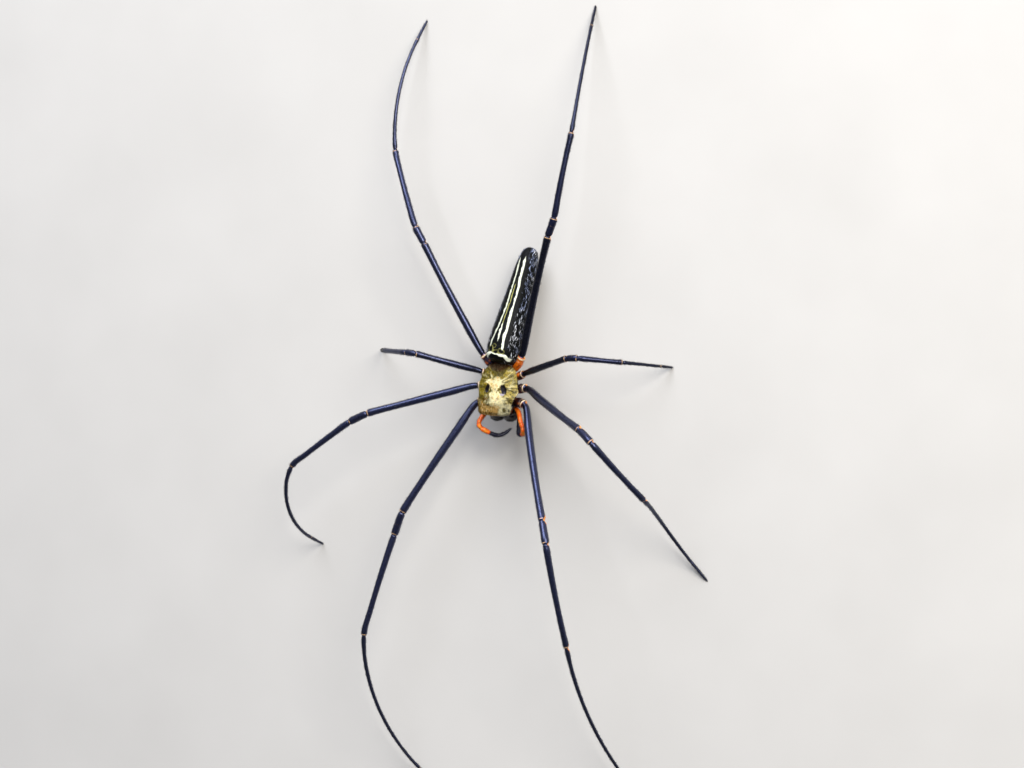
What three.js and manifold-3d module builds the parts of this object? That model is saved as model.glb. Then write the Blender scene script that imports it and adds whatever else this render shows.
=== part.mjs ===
// Golden silk orb weaver, adult female, life size, in the stance it takes at the hub of its web.
// Millimetres, +Z up. The spider faces -Y, its left side is +X, and its feet stand on z = 0.
import * as THREE from 'three';
import { mergeVertices } from 'three/addons/utils/BufferGeometryUtils.js';
import Module from 'manifold-3d';

const wasm = await Module();
wasm.setup();

// Clearances
const jointGap = 0.3;
const eyeGap = 0.12;

// The floor trims every foot to a small flat at this height of the leg lines
const footLevel = 0.24;

// Head and thorax in one shield: places along the body are measured along y
const shield = {
  rear: 4.35, front: -7.15, neckFrom: -1.6, neckTo: -4.4,
  thorax: { halfWidth: 4.72, edgeLevel: 10.3, top: 13.1, depth: 0.8, square: 0.86 },
  head: { halfWidth: 3.88, edgeLevel: 11.9, top: 14.0, depth: 2.4, square: 0.56 },
  rearFall: { from: -1.2, depth: 2.2 },
  neckDip: { y: -2.9, length: 1.5, depth: 0.5, middleShare: 0.35, sideAt: 3.2, sideWidth: 1.6 },
  bluntness: { front: 9, rear: 2 }, roundness: { front: 0.23, rear: 0.36 },
  columns: 32, rows: 24,
};
const pits = { x: 1.92, y: -1.3, width: 0.6, length: 1.05, splay: 20, depth: 0.75 };
const fovea = { y: -0.7, radius: 0.55, depth: 0.35 };
const underBody = { halfWidth: 2.75, front: -4.9, rear: 3.7, bottom: 5.9, top: 10.8 };
const mouthParts = { x: 1.45, y: -4.95, level: 7.3, size: [1.1, 1.3, 1.15] };
const lowerLip = { y: -4.8, level: 6.7, size: [0.9, 1.0, 0.7] };

// Abdomen: [distance from its front end, radius], carried on a straight axis that drops to the rear
const abdomen = {
  front: [0, 4.4, 10.75], tip: [3.59, 30.2, 4.6],
  radii: [[0, 0], [0.1, 2], [0.45, 2.95], [1.2, 3.5], [2.6, 3.76], [4.4, 3.8], [7, 3.7], [10, 3.42],
    [14, 3.05], [18, 2.76], [21.5, 2.5], [24, 2.18], [25.3, 1.68], [25.95, 0.95], [26.15, 0]],
};
const abdomenSides = 28;
const pedicel = { radius: 1, start: [0, 2.9, 9.2], end: [0, 5.9, 9.6] };

// Spinnerets: each cone as [across, along, length, width, lean]
const spinners = {
  along: 20.4, bellyRadius: 2.58, baseSize: [1.15, 1.4, 0.75], sink: 0.1, rootShare: 0.45, splay: 0.12,
  coneSides: 6,
  coneShape: [[0, 0], [1, 0], [0.9, 0.6], [0.55, 0.94], [0, 1]],
  cones: [[0.52, -0.6, 1.15, 0.42, 0.25], [0.25, 0.05, 0.75, 0.26, 0.1], [0.5, 0.7, 1.05, 0.38, -0.45]],
};

// Jaws, fangs and palps: centre line points for the left side, [x, y, z], and radii along them
const jaw = {
  path: [[1.6, -5.2, 10.4], [1.62, -6.3, 9.5], [1.62, -6.85, 7.9], [1.56, -6.9, 6.3], [1.42, -6.6, 5.0]],
  radii: [[0, 1.15], [0.3, 1.32], [0.55, 1.38], [0.8, 1.18], [0.92, 0.98], [0.98, 0.72], [1, 0.4]],
};
const fang = {
  path: [[1.4, -6.5, 5.2], [1.45, -6.65, 4.35], [1.1, -6.6, 3.8], [0.4, -6.2, 3.85]],
  radii: [[0, 0.36], [0.35, 0.3], [0.75, 0.19], [1, 0.07]],
};
const palpRadii = {
  upper: [[0, 0.56], [0.2, 0.59], [0.55, 0.56], [0.66, 0.6], [0.72, 0.55], [0.85, 0.63], [1, 0.54]],
  lower: [[0, 0.48], [0.18, 0.52], [0.38, 0.46], [0.44, 0.48], [0.75, 0.41], [0.94, 0.29], [1, 0.16]],
};
const palpPaths = {
  right: [[-2.65, -5.3, 7.3], [-3.5, -6.1, 7.9], [-4.35, -7.5, 9.3], [-4.85, -9.1, 10.0], [-4.4, -10.0, 9.9],
    [-3.3, -10.75, 9.1], [-2.2, -11.35, 8.2], [-1.3, -11.6, 7.4], [-0.2, -11.2, 6.7], [1.25, -9.95, 6.0]],
  left: [[2.65, -5.3, 7.3], [3.65, -6.0, 8.0], [4.9, -7.9, 9.3], [5.85, -9.9, 9.7], [5.75, -10.65, 9.3],
    [4.85, -11.1, 8.9], [4.35, -10.8, 8.6], [4.0, -9.7, 8.1], [3.75, -8.4, 7.7], [3.5, -7.2, 7.5]],
};
const palpJoint = 0.62;

// How many flat sides go round a rod, and rings along it
const sidesRound = {
  hip: 10, femur: 10, patella: 10, tibia: 10, metatarsus: 8, jaw: 14, fang: 8, palp: 8, waist: 14,
};
const ringsAlong = {
  hip: 4, femur: 7, patella: 3, tibia: 6, metatarsus: 14, jaw: 7, fang: 6, palpUpper: 12, palpLower: 10,
};
const ballFacets = {
  body: { columns: 18, rows: 10 }, mouth: { columns: 16, rows: 10 }, eye: { columns: 10, rows: 6 },
  spinners: { columns: 12, rows: 6 },
};

// Eyes: left side place across and up the face, and radius
const eyes = {
  front_median: [0.72, 10.55, 0.34], rear_median: [0.85, 11.65, 0.29],
  front_lateral: [2.75, 10.75, 0.24], rear_lateral: [3.1, 11.35, 0.22],
};
const eyeSink = 0.35;
const eyeLook = { outward: 0.22, upward: 0.15, clear: 5 };

// Legs, front pair to rear pair: coxa root and hip joint on the left side, segment lengths, and bulk
const coxaLevel = 8.1;
const legs = [
  {
    root: [2.75, -3.85], hip: [5.9, -4.25, 9.1], bulk: 1,
    femur: 29.8, patella: 5.6, tibia: 23.7, metatarsus: 35.0, tarsus: 6.3,
  },
  {
    root: [3.1, -1.15], hip: [6.05, -0.65, 9.1], bulk: 0.98,
    femur: 25.8, patella: 4.9, tibia: 18.1, metatarsus: 21.5, tarsus: 4.8,
  },
  {
    root: [3.05, 1.5], hip: [5.25, 2.45, 9.1], bulk: 0.86,
    femur: 15.3, patella: 2.9, tibia: 9.9, metatarsus: 9.8, tarsus: 3.1,
  },
  {
    root: [2.4, 3.4], hip: [4.85, 6.25, 9.6], bulk: 0.97,
    femur: 28.0, patella: 4.3, tibia: 18.9, metatarsus: 26.6, tarsus: 5.1,
  },
];

// How each segment points: [heading, rise] in degrees, heading from straight ahead round to its own
// side, rise above level; the metatarsus turns evenly from its own way to that of the tarsus.
const stances = {
  left: [
    {
      femur: [24.7, 25.9], patella: [23.6, 22.8], tibia: [7.7, -16.2],
      metatarsus: [7.6, -16.1], tarsus: [30.4, -31.7],
    },
    {
      femur: [68.4, 34.9], patella: [56.4, 24.4], tibia: [35.0, -34.9],
      metatarsus: [5.3, -65.7], tarsus: [39.4, -17.7],
    },
    {
      femur: [107.3, 26.0], patella: [93.0, 10.6], tibia: [86.3, -34.9],
      metatarsus: [85.2, -47.8], tarsus: [83.5, -58.6],
    },
    {
      femur: [164.7, 11.0], patella: [161.4, 1.7], tibia: [172.2, -4.1],
      metatarsus: [180.8, -17.5], tarsus: [185.3, -31.0],
    },
  ],
  right: [
    {
      femur: [29.3, 12.0], patella: [20.9, -5.7], tibia: [15.2, 1.8],
      metatarsus: [4.5, -14.2], tarsus: [-40.2, -27.3],
    },
    {
      femur: [72.2, 14.9], patella: [64.1, -2.3], tibia: [52.9, -0.1],
      metatarsus: [19.6, 2.1], tarsus: [-27.4, -67.3],
    },
    {
      femur: [105.2, 35.0], patella: [91.9, -16.0], tibia: [89.8, -34.0],
      metatarsus: [88.4, -55.9], tarsus: [87.5, -65.2],
    },
    {
      femur: [149.0, 5.7], patella: [147.7, 2.5], tibia: [155.6, -11.0],
      metatarsus: [174.6, 2.3], tarsus: [191.9, -29.8],
    },
  ],
};

// Half thickness along each leg segment, as [share of its length, radius]
const legRadii = {
  hip: [[0, 0.95], [0.2, 1.12], [0.5, 1.18], [0.66, 0.98], [0.74, 0.9], [0.84, 1.02], [1, 0.82]],
  femur: [[0, 0.74], [0.06, 0.78], [0.2, 0.9], [0.45, 0.88], [0.75, 0.8], [0.9, 0.84], [0.97, 0.9],
    [1, 0.8]],
  patella: [[0, 0.76], [0.15, 0.86], [0.5, 0.86], [0.82, 0.9], [1, 0.78]],
  tibia: [[0, 0.7], [0.06, 0.78], [0.3, 0.72], [0.6, 0.66], [0.88, 0.68], [0.96, 0.74], [1, 0.62]],
  metatarsus: [[0, 0.5], [0.03, 0.58], [0.1, 0.47], [0.4, 0.42], [0.78, 0.37], [0.82, 0.4], [0.86, 0.35],
    [0.94, 0.3], [0.99, 0.24], [1, 0.12]],
};
const segmentBow = { femur: 0.02, patella: 0, tibia: 0.02 };
const metatarsusSteps = 8;

// The line keeps clear of a joint's corner by a length, or on a short segment by a share of it
const cornerSetback = { length: 0.9, share: 0.3 };
const hipShares = [0.4, 0.75];

// Finishes
function finish(color, roughness, metalness) {
  return new THREE.MeshStandardMaterial({ color, roughness, metalness });
}
const goldPile = finish(0xb49a4a, 0.6, 0);
const blackCuticle = finish(0x0c0c12, 0.35, 0);
const patternedCuticle = finish(0x23241f, 0.3, 0);
const navyCuticle = finish(0x1d2550, 0.35, 0.1);
const amberCuticle = finish(0xc2501c, 0.4, 0);
const orangeCuticle = finish(0xe8641a, 0.4, 0);
const eyeLens = finish(0x101010, 0.08, 0);

// Closed solids
const weldDistance = 1e-5;

function solidOf(geometry) {
  const bare = geometry.clone();
  bare.deleteAttribute('normal');
  bare.deleteAttribute('uv');
  const merged = mergeVertices(bare, weldDistance);
  const corners = merged.index.array;
  const faces = [];
  for (let i = 0; i < corners.length; i += 3) {
    const [a, b, c] = corners.slice(i, i + 3);
    if (a !== b && b !== c && c !== a) faces.push(a, b, c);
  }
  const vertProperties = new Float32Array(merged.attributes.position.array);
  return new wasm.Manifold(new wasm.Mesh({ numProp: 3, vertProperties, triVerts: new Uint32Array(faces) }));
}

function largestOf(solid) {
  const pieces = solid.decompose();
  return pieces.reduce((best, piece) => (piece.volume() > best.volume() ? piece : best));
}

function geometryOf(solid) {
  const mesh = largestOf(solid).getMesh();
  const geometry = new THREE.BufferGeometry();
  geometry.setAttribute('position', new THREE.BufferAttribute(new Float32Array(mesh.vertProperties), 3));
  geometry.setIndex(new THREE.BufferAttribute(new Uint32Array(mesh.triVerts), 1));
  geometry.computeVertexNormals();
  return geometry;
}

const spider = new THREE.Group();

function addPiece(name, solid, material) {
  const mesh = new THREE.Mesh(geometryOf(solid), material);
  mesh.name = name;
  spider.add(mesh);
}

function ellipsoid(centre, size, facets) {
  const geometry = new THREE.SphereGeometry(1, facets.columns, facets.rows);
  geometry.scale(...size);
  geometry.translate(...centre);
  return solidOf(geometry);
}

function forSide(point, side) {
  return new THREE.Vector3(point[0] * side, point[1], point[2]);
}

// A smooth centre line with frames that turn no more than the line itself does
const frameSteps = 800;

function centreLine(points) {
  const curve = points.length > 2
    ? new THREE.CatmullRomCurve3(points, false, 'centripetal')
    : new THREE.LineCurve3(...points);
  curve.arcLengthDivisions = frameSteps;
  return {
    length: curve.getLength(),
    places: curve.getSpacedPoints(frameSteps),
    frames: curve.computeFrenetFrames(frameSteps),
  };
}

// A lathed rod bent along a centre line between two places on it, its ends square to the line
function limb(line, start, end, radii, sides, grow = 0) {
  const along = (share) => THREE.MathUtils.lerp(start, end, share);
  const rim = radii.map(([share, radius]) => new THREE.Vector2(radius + grow, along(share)));
  const profile = [new THREE.Vector2(0, start), ...rim, new THREE.Vector2(0, end)];
  const geometry = new THREE.LatheGeometry(profile, sides);
  const place = geometry.attributes.position;
  for (let i = 0; i < place.count; i++) {
    const nearest = Math.round((place.getY(i) / line.length) * frameSteps);
    const step = THREE.MathUtils.clamp(nearest, 0, frameSteps);
    const point = line.places[step].clone();
    point.addScaledVector(line.frames.normals[step], place.getZ(i));
    point.addScaledVector(line.frames.binormals[step], place.getX(i));
    place.setXYZ(i, point.x, point.y, point.z);
  }
  return solidOf(geometry);
}

// Radii resampled so that a long or bent piece has enough rings, leaving out any that nearly coincide
const leastStep = 0.25;

function evenRadii(radii, rings) {
  const shares = new Set(radii.map(([share]) => share));
  for (let i = 1; i < rings; i++) shares.add(i / rings);
  const sorted = [...shares].sort((a, b) => a - b);
  const apart = (share, i) => i === 0 || share === 1 || share - sorted[i - 1] > leastStep / rings;
  const kept = sorted.filter(apart);
  return kept.map((share) => {
    const next = Math.max(1, radii.findIndex(([place]) => place >= share));
    const [from, to] = [radii[next - 1], radii[next]];
    return [share, THREE.MathUtils.mapLinear(share, from[0], to[0], from[1], to[1])];
  });
}

// The shield's form: a ball drawn out to the outline and height at each place along the body
function bump(distance, radius) {
  return Math.exp(-((distance / radius) ** 2));
}

function roundedShare(value, power) {
  return Math.sign(value) * Math.abs(value) ** power;
}

function headShare(y) {
  return THREE.MathUtils.smoothstep(-y, -shield.neckFrom, -shield.neckTo);
}

function alongShield(measure, y) {
  return THREE.MathUtils.lerp(shield.thorax[measure], shield.head[measure], headShare(y));
}

// How deep in a pit a place is; the two pits lie either side and splay out to the front
function pitShare(x, y) {
  const turn = THREE.MathUtils.degToRad(pits.splay);
  const outward = Math.abs(x) - pits.x;
  const behind = y - pits.y;
  const across = outward * Math.cos(turn) + behind * Math.sin(turn);
  const along = behind * Math.cos(turn) - outward * Math.sin(turn);
  return bump(across, pits.width) * bump(along, pits.length);
}

function shieldTopAt(x, y) {
  const { rearFall, neckDip } = shield;
  const rear = rearFall.depth * THREE.MathUtils.smoothstep(y, rearFall.from, shield.rear);
  const sides = (1 - neckDip.middleShare) * bump(Math.abs(x) - neckDip.sideAt, neckDip.sideWidth);
  const neck = neckDip.depth * bump(y - neckDip.y, neckDip.length) * (neckDip.middleShare + sides);
  const middle = fovea.depth * bump(Math.hypot(x, y - fovea.y), fovea.radius);
  return alongShield('top', y) - rear - neck - middle - pits.depth * pitShare(x, y);
}

function shieldSolid(grow = 0) {
  const geometry = new THREE.SphereGeometry(1, shield.columns, shield.rows);
  geometry.rotateX(Math.PI / 2);
  const place = geometry.attributes.position;
  const middleY = (shield.rear + shield.front) / 2;
  const halfLength = (shield.rear - shield.front) / 2;
  for (let i = 0; i < place.count; i++) {
    const along = THREE.MathUtils.clamp(place.getY(i), -1, 1);
    const end = along < 0 ? 'front' : 'rear';
    const ring = (1 - Math.abs(along) ** shield.bluntness[end]) ** shield.roundness[end];
    const turn = Math.atan2(place.getZ(i), place.getX(i));
    const y = middleY + along * (halfLength + grow);
    const square = alongShield('square', y);
    const x = (alongShield('halfWidth', y) + grow) * ring * roundedShare(Math.cos(turn), square);
    const lift = roundedShare(Math.sin(turn), square) * ring;
    const edge = alongShield('edgeLevel', y);
    const height = (lift > 0 ? shieldTopAt(x, y) - edge : alongShield('depth', y)) + grow;
    place.setXYZ(i, x, y, edge + height * lift);
  }
  return solidOf(geometry);
}

function headAndThorax(grow = 0) {
  const { halfWidth, front, rear, bottom, top } = underBody;
  const size = [halfWidth, (rear - front) / 2, (top - bottom) / 2].map((s) => s + grow);
  const below = ellipsoid([0, (rear + front) / 2, (top + bottom) / 2], size, ballFacets.body);
  const lipSize = lowerLip.size.map((s) => s + grow);
  const lip = ellipsoid([0, lowerLip.y, lowerLip.level], lipSize, ballFacets.mouth);
  let body = shieldSolid(grow).add(below).add(lip);
  for (const side of [1, -1]) {
    const centre = [side * mouthParts.x, mouthParts.y, mouthParts.level];
    body = body.add(ellipsoid(centre, mouthParts.size.map((s) => s + grow), ballFacets.mouth));
  }
  return body;
}

// Abdomen
function abdomenSolid(grow = 0) {
  const axis = new THREE.LineCurve3(new THREE.Vector3(...abdomen.front), new THREE.Vector3(...abdomen.tip));
  const length = axis.getLength();
  const last = abdomen.radii.at(-1)[0];
  const profile = abdomen.radii.map(([along, radius]) => {
    const stretched = THREE.MathUtils.mapLinear(along, 0, last, -grow, length + grow);
    return new THREE.Vector2(radius === 0 ? 0 : radius + grow, stretched);
  });
  const geometry = new THREE.LatheGeometry(profile, abdomenSides);
  const direction = axis.v2.clone().sub(axis.v1).normalize();
  geometry.applyQuaternion(new THREE.Quaternion().setFromUnitVectors(new THREE.Vector3(0, 1, 0), direction));
  geometry.translate(...abdomen.front);
  return solidOf(geometry);
}

function abdomenPlace(along) {
  const start = new THREE.Vector3(...abdomen.front);
  const end = new THREE.Vector3(...abdomen.tip);
  return start.lerp(end, along / abdomen.radii.at(-1)[0]);
}

function spinneretCluster() {
  const middle = abdomenPlace(spinners.along);
  const centre = [middle.x, middle.y, middle.z - spinners.bellyRadius + spinners.sink];
  let cluster = ellipsoid(centre, spinners.baseSize, ballFacets.spinners);
  for (const side of [1, -1]) {
    for (const [across, along, length, width, lean] of spinners.cones) {
      const outline = spinners.coneShape.map(([out, far]) => new THREE.Vector2(width * out, length * far));
      const cone = new THREE.LatheGeometry(outline, spinners.coneSides);
      cone.rotateX(-Math.PI / 2 + lean);
      cone.rotateY(-side * spinners.splay);
      const root = centre[2] - spinners.baseSize[2] * spinners.rootShare;
      cone.translate(centre[0] + side * across, centre[1] + along, root);
      cluster = cluster.add(solidOf(cone));
    }
  }
  return cluster;
}

// Legs
const upward = new THREE.Vector3(0, 0, 1);

function towards([heading, rise], side) {
  const out = THREE.MathUtils.degToRad(heading);
  const up = THREE.MathUtils.degToRad(rise);
  return new THREE.Vector3(side * Math.sin(out) * Math.cos(up), -Math.cos(out) * Math.cos(up), Math.sin(up));
}

function legLine(leg, stance, side) {
  const root = new THREE.Vector3(side * leg.root[0], leg.root[1], coxaLevel);
  const hip = forSide(leg.hip, side);
  const points = [root, ...hipShares.map((share) => root.clone().lerp(hip, share))];
  const joints = [hip];
  let end = hip;
  for (const name of ['femur', 'patella', 'tibia']) {
    const start = end;
    const way = towards(stance[name], side);
    end = start.clone().addScaledVector(way, leg[name]);
    const bowWay = upward.clone().addScaledVector(way, -way.z).normalize();
    const setback = Math.min(cornerSetback.share, cornerSetback.length / leg[name]);
    const shares = name === 'patella' ? [setback, 1 - setback] : [setback, 0.25, 0.5, 0.75, 1 - setback];
    for (const share of shares) {
      const bow = 4 * share * (1 - share) * segmentBow[name] * leg[name];
      points.push(start.clone().lerp(end, share).addScaledVector(bowWay, bow));
    }
    joints.push(end);
  }
  for (let i = 0; i < metatarsusSteps; i++) {
    const share = (i + 0.5) / metatarsusSteps;
    const turn = [0, 1].map((k) => THREE.MathUtils.lerp(stance.metatarsus[k], stance.tarsus[k], share));
    end = end.clone().addScaledVector(towards(turn, side), leg.metatarsus / metatarsusSteps);
    points.push(end);
  }
  points.push(end.clone().addScaledVector(towards(stance.tarsus, side), leg.tarsus));
  return { line: centreLine(points), joints };
}

function placeAlong(line, point) {
  const gaps = line.places.map((place) => place.distanceTo(point));
  return (gaps.indexOf(Math.min(...gaps)) / frameSteps) * line.length;
}

const slab = { size: 400, thickness: 20 };
const floorSlab = new THREE.BoxGeometry(slab.size, slab.size, slab.thickness);
floorSlab.translate(0, 0, footLevel - slab.thickness / 2);
const floorSolid = solidOf(floorSlab);

function scaleRadii(radii, factor) {
  return radii.map(([share, radius]) => [share, radius * factor]);
}

// Assembly
const core = headAndThorax();
const coreGrown = headAndThorax(jointGap);
const belly = abdomenSolid();
const bellyGrown = abdomenSolid(jointGap);

const segmentFinish = {
  hip: amberCuticle, femur: navyCuticle, patella: navyCuticle, tibia: navyCuticle, metatarsus: blackCuticle,
};

for (const [sideName, side] of [['left', 1], ['right', -1]]) {
  legs.forEach((leg, number) => {
    const { line, joints } = legLine(leg, stances[sideName][number], side);
    const cuts = [0, ...joints.map((joint) => placeAlong(line, joint)), line.length];
    Object.keys(legRadii).forEach((segment, i) => {
      const start = cuts[i] + (i === 0 ? 0 : jointGap / 2);
      const end = cuts[i + 1] - (segment === 'metatarsus' ? 0 : jointGap / 2);
      const radii = evenRadii(scaleRadii(legRadii[segment], leg.bulk), ringsAlong[segment]);
      let piece = limb(line, start, end, radii, sidesRound[segment]);
      if (segment === 'hip') piece = piece.subtract(coreGrown).subtract(bellyGrown);
      if (segment === 'metatarsus') piece = piece.subtract(floorSolid);
      addPiece(`leg_${number + 1}_${sideName}_${segment}`, piece, segmentFinish[segment]);
    });
  });

  const jawLine = centreLine(jaw.path.map((point) => forSide(point, side)));
  const fangLine = centreLine(fang.path.map((point) => forSide(point, side)));
  const jawGrown = limb(jawLine, 0, jawLine.length, jaw.radii, sidesRound.jaw, jointGap);
  const jawSolid = limb(jawLine, 0, jawLine.length, evenRadii(jaw.radii, ringsAlong.jaw), sidesRound.jaw);
  const fangRadii = evenRadii(fang.radii, ringsAlong.fang);
  const fangSolid = limb(fangLine, 0, fangLine.length, fangRadii, sidesRound.fang);
  addPiece(`jaw_${sideName}`, jawSolid.subtract(coreGrown), blackCuticle);
  addPiece(`fang_${sideName}`, fangSolid.subtract(jawGrown), blackCuticle);

  const palpLine = centreLine(palpPaths[sideName].map((point) => new THREE.Vector3(...point)));
  const palpCut = palpLine.length * palpJoint;
  const upperRadii = evenRadii(palpRadii.upper, ringsAlong.palpUpper);
  const lowerRadii = evenRadii(palpRadii.lower, ringsAlong.palpLower);
  const upper = limb(palpLine, 0, palpCut - jointGap / 2, upperRadii, sidesRound.palp);
  const lower = limb(palpLine, palpCut + jointGap / 2, palpLine.length, lowerRadii, sidesRound.palp);
  addPiece(`palp_${sideName}_upper`, upper.subtract(coreGrown).subtract(jawGrown), orangeCuticle);
  addPiece(`palp_${sideName}_lower`, lower.subtract(jawGrown), blackCuticle);
}

// Eyes sit in sockets where a level line from straight ahead meets the face
const faceGeometry = geometryOf(core);
const face = new THREE.Mesh(faceGeometry, blackCuticle);
const sight = new THREE.Raycaster();
let socketed = core;
for (const [sideName, side] of [['left', 1], ['right', -1]]) {
  for (const [eyeName, [x, level, radius]] of Object.entries(eyes)) {
    const outward = new THREE.Vector3(side * x * eyeLook.outward, -1, eyeLook.upward).normalize();
    const origin = new THREE.Vector3(side * x, shield.front, level).addScaledVector(outward, eyeLook.clear);
    sight.set(origin, outward.clone().negate());
    const hit = sight.intersectObject(face)[0].point.addScaledVector(outward, -radius * eyeSink);
    const centre = [hit.x, hit.y, hit.z];
    const lens = ellipsoid(centre, [radius, radius, radius], ballFacets.eye);
    addPiece(`eye_${eyeName}_${sideName}`, lens, eyeLens);
    const socket = radius + eyeGap;
    socketed = socketed.subtract(ellipsoid(centre, [socket, socket, socket], ballFacets.eye));
  }
}

const stalkLine = centreLine([new THREE.Vector3(...pedicel.start), new THREE.Vector3(...pedicel.end)]);
const stalkRadii = [[0, pedicel.radius], [1, pedicel.radius]];
const stalk = limb(stalkLine, 0, stalkLine.length, stalkRadii, sidesRound.waist);
const cluster = spinneretCluster();

addPiece('cephalothorax', socketed, goldPile);
addPiece('pedicel', stalk.subtract(coreGrown).subtract(bellyGrown), amberCuticle);
addPiece('abdomen', belly.subtract(coreGrown), patternedCuticle);
addPiece('spinnerets', cluster.subtract(bellyGrown), blackCuticle);

// The origin is on the floor, under the middle of the whole spider's outline
const outline = new THREE.Box3().setFromObject(spider);
const centre = outline.getCenter(new THREE.Vector3());
spider.position.set(-centre.x, -centre.y, -footLevel);

export default spider;
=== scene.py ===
import math

import bpy
import numpy as np
from mathutils import Matrix, Vector
from mathutils.kdtree import KDTree


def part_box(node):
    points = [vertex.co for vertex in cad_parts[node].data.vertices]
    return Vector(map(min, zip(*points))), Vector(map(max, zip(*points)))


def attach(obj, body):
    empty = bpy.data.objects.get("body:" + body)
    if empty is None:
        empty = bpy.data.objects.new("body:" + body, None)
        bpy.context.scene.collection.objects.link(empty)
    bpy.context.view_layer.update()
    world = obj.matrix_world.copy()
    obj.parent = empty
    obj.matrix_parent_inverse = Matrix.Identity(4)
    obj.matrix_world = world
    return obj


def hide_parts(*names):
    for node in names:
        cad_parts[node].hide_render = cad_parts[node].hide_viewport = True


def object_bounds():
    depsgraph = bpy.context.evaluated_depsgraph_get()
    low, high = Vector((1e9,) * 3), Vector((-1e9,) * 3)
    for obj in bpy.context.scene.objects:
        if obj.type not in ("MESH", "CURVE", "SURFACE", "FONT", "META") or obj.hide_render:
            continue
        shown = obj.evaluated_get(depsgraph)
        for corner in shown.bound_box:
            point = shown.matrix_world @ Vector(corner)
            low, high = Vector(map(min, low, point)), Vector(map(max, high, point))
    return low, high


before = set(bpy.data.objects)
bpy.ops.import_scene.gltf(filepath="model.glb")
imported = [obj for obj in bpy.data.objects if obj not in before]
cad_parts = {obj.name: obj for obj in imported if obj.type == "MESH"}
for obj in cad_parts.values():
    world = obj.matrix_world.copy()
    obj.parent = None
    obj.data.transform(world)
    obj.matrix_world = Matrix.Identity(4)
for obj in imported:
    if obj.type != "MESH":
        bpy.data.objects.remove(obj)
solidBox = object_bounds()
mm = 0.001

# All pieces are measured in millimetres in the spider's own frame: x to its left, y to its rear, z up.
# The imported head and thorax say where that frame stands.
ownFrame = {"shieldFront": -7.15, "footLevel": 0.24}
shieldLow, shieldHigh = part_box("cephalothorax")
origin = np.array([
    (shieldLow.x + shieldHigh.x) / 2,
    shieldLow.y - ownFrame["shieldFront"] * mm,
    -ownFrame["footLevel"] * mm,
])

# How far any piece may reach, just inside the box of the solids
boxMargin = 0.01
reach = [(np.array(corner) - origin) / mm + step for corner, step in zip(solidBox, (boxMargin, -boxMargin))]


# Shader maths: one socket of a material's tree, with arithmetic that adds Math nodes
class Shade:
    def __init__(self, tree, socket=None):
        self.tree = tree
        self.socket = socket

    def node(self, kind, settings=None, sockets=None, output=0):
        made = self.tree.nodes.new(kind)
        for key, value in (settings or {}).items():
            if key == "stops":
                setStops(made.color_ramp, value)
            else:
                setattr(made, key, value)
        for key, value in (sockets or {}).items():
            if isinstance(value, Shade):
                self.tree.links.new(value.socket, made.inputs[key])
            else:
                made.inputs[key].default_value = value
        return Shade(self.tree, made.outputs[output])

    def math(self, operation, *values):
        return self.node("ShaderNodeMath", {"operation": operation}, dict(enumerate(values)))

    def __add__(self, other):
        return self.math("ADD", self, other)

    def __radd__(self, other):
        return self.math("ADD", other, self)

    def __sub__(self, other):
        return self.math("SUBTRACT", self, other)

    def __rsub__(self, other):
        return self.math("SUBTRACT", other, self)

    def __mul__(self, other):
        return self.math("MULTIPLY", self, other)

    def __rmul__(self, other):
        return self.math("MULTIPLY", other, self)

    def __truediv__(self, other):
        return self.math("DIVIDE", self, other)

    def __rtruediv__(self, other):
        return self.math("DIVIDE", other, self)

    def __abs__(self):
        return self.math("ABSOLUTE", self)

    def most(self, other):
        return self.math("MAXIMUM", self, other)

    # 0 below low, 1 above high, smooth between
    def rise(self, low, high):
        settings = {"interpolation_type": "SMOOTHSTEP"}
        return self.node("ShaderNodeMapRange", settings, {"Value": self, "From Min": low, "From Max": high})

    def fall(self, low, high):
        return 1 - self.rise(low, high)

    def ramp(self, stops):
        return self.node("ShaderNodeValToRGB", {"stops": stops}, {"Fac": self})

    def attribute(self, name):
        return self.node("ShaderNodeAttribute", {"attribute_name": name}, output="Fac")

    def place(self):
        return self.node("ShaderNodeTexCoord", output="Object")

    # noise and cells, in waves to a unit of the vector, which is the place in metres unless given
    def noise(self, scale, detail=2.0, vector=None):
        sockets = {"Vector": vector or self.place(), "Scale": scale, "Detail": detail}
        return self.node("ShaderNodeTexNoise", None, sockets, output="Fac")

    def cells(self, scale):
        sockets = {"Vector": self.place(), "Scale": scale}
        return self.node("ShaderNodeTexVoronoi", None, sockets, output="Distance")

    def vectorMath(self, operation, first, second, output="Vector"):
        return self.node("ShaderNodeVectorMath", {"operation": operation}, {0: first, 1: second}, output)

    def joinVector(self, x, y, z):
        return self.node("ShaderNodeCombineXYZ", None, {"X": x, "Y": y, "Z": z})

    def mixColour(self, factor, first, second, blend="MIX"):
        settings = {"data_type": "RGBA", "blend_type": blend}
        return self.node("ShaderNodeMix", settings, {0: factor, 6: first, 7: second}, output=2)

    def bump(self, height, strength, distance):
        sockets = {"Strength": strength, "Distance": distance, "Height": height}
        return self.node("ShaderNodeBump", None, sockets)


def setStops(ramp, stops):
    while len(ramp.elements) > 1:
        ramp.elements.remove(ramp.elements[-1])
    for i, (position, colour) in enumerate(stops):
        element = ramp.elements[0] if i == 0 else ramp.elements.new(position)
        element.position = position
        element.color = colour


# A colour as seen on a screen, from 0 to 255, as the light that a shader works in
def tint(*screenColour):
    levels = [level / 255 for level in screenColour]
    light = [((c + 0.055) / 1.055) ** 2.4 if c > 0.0393 else c / 12.92 for c in levels]
    return (*light, 1)


def grey(level):
    return (level, level, level, 1)


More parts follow.
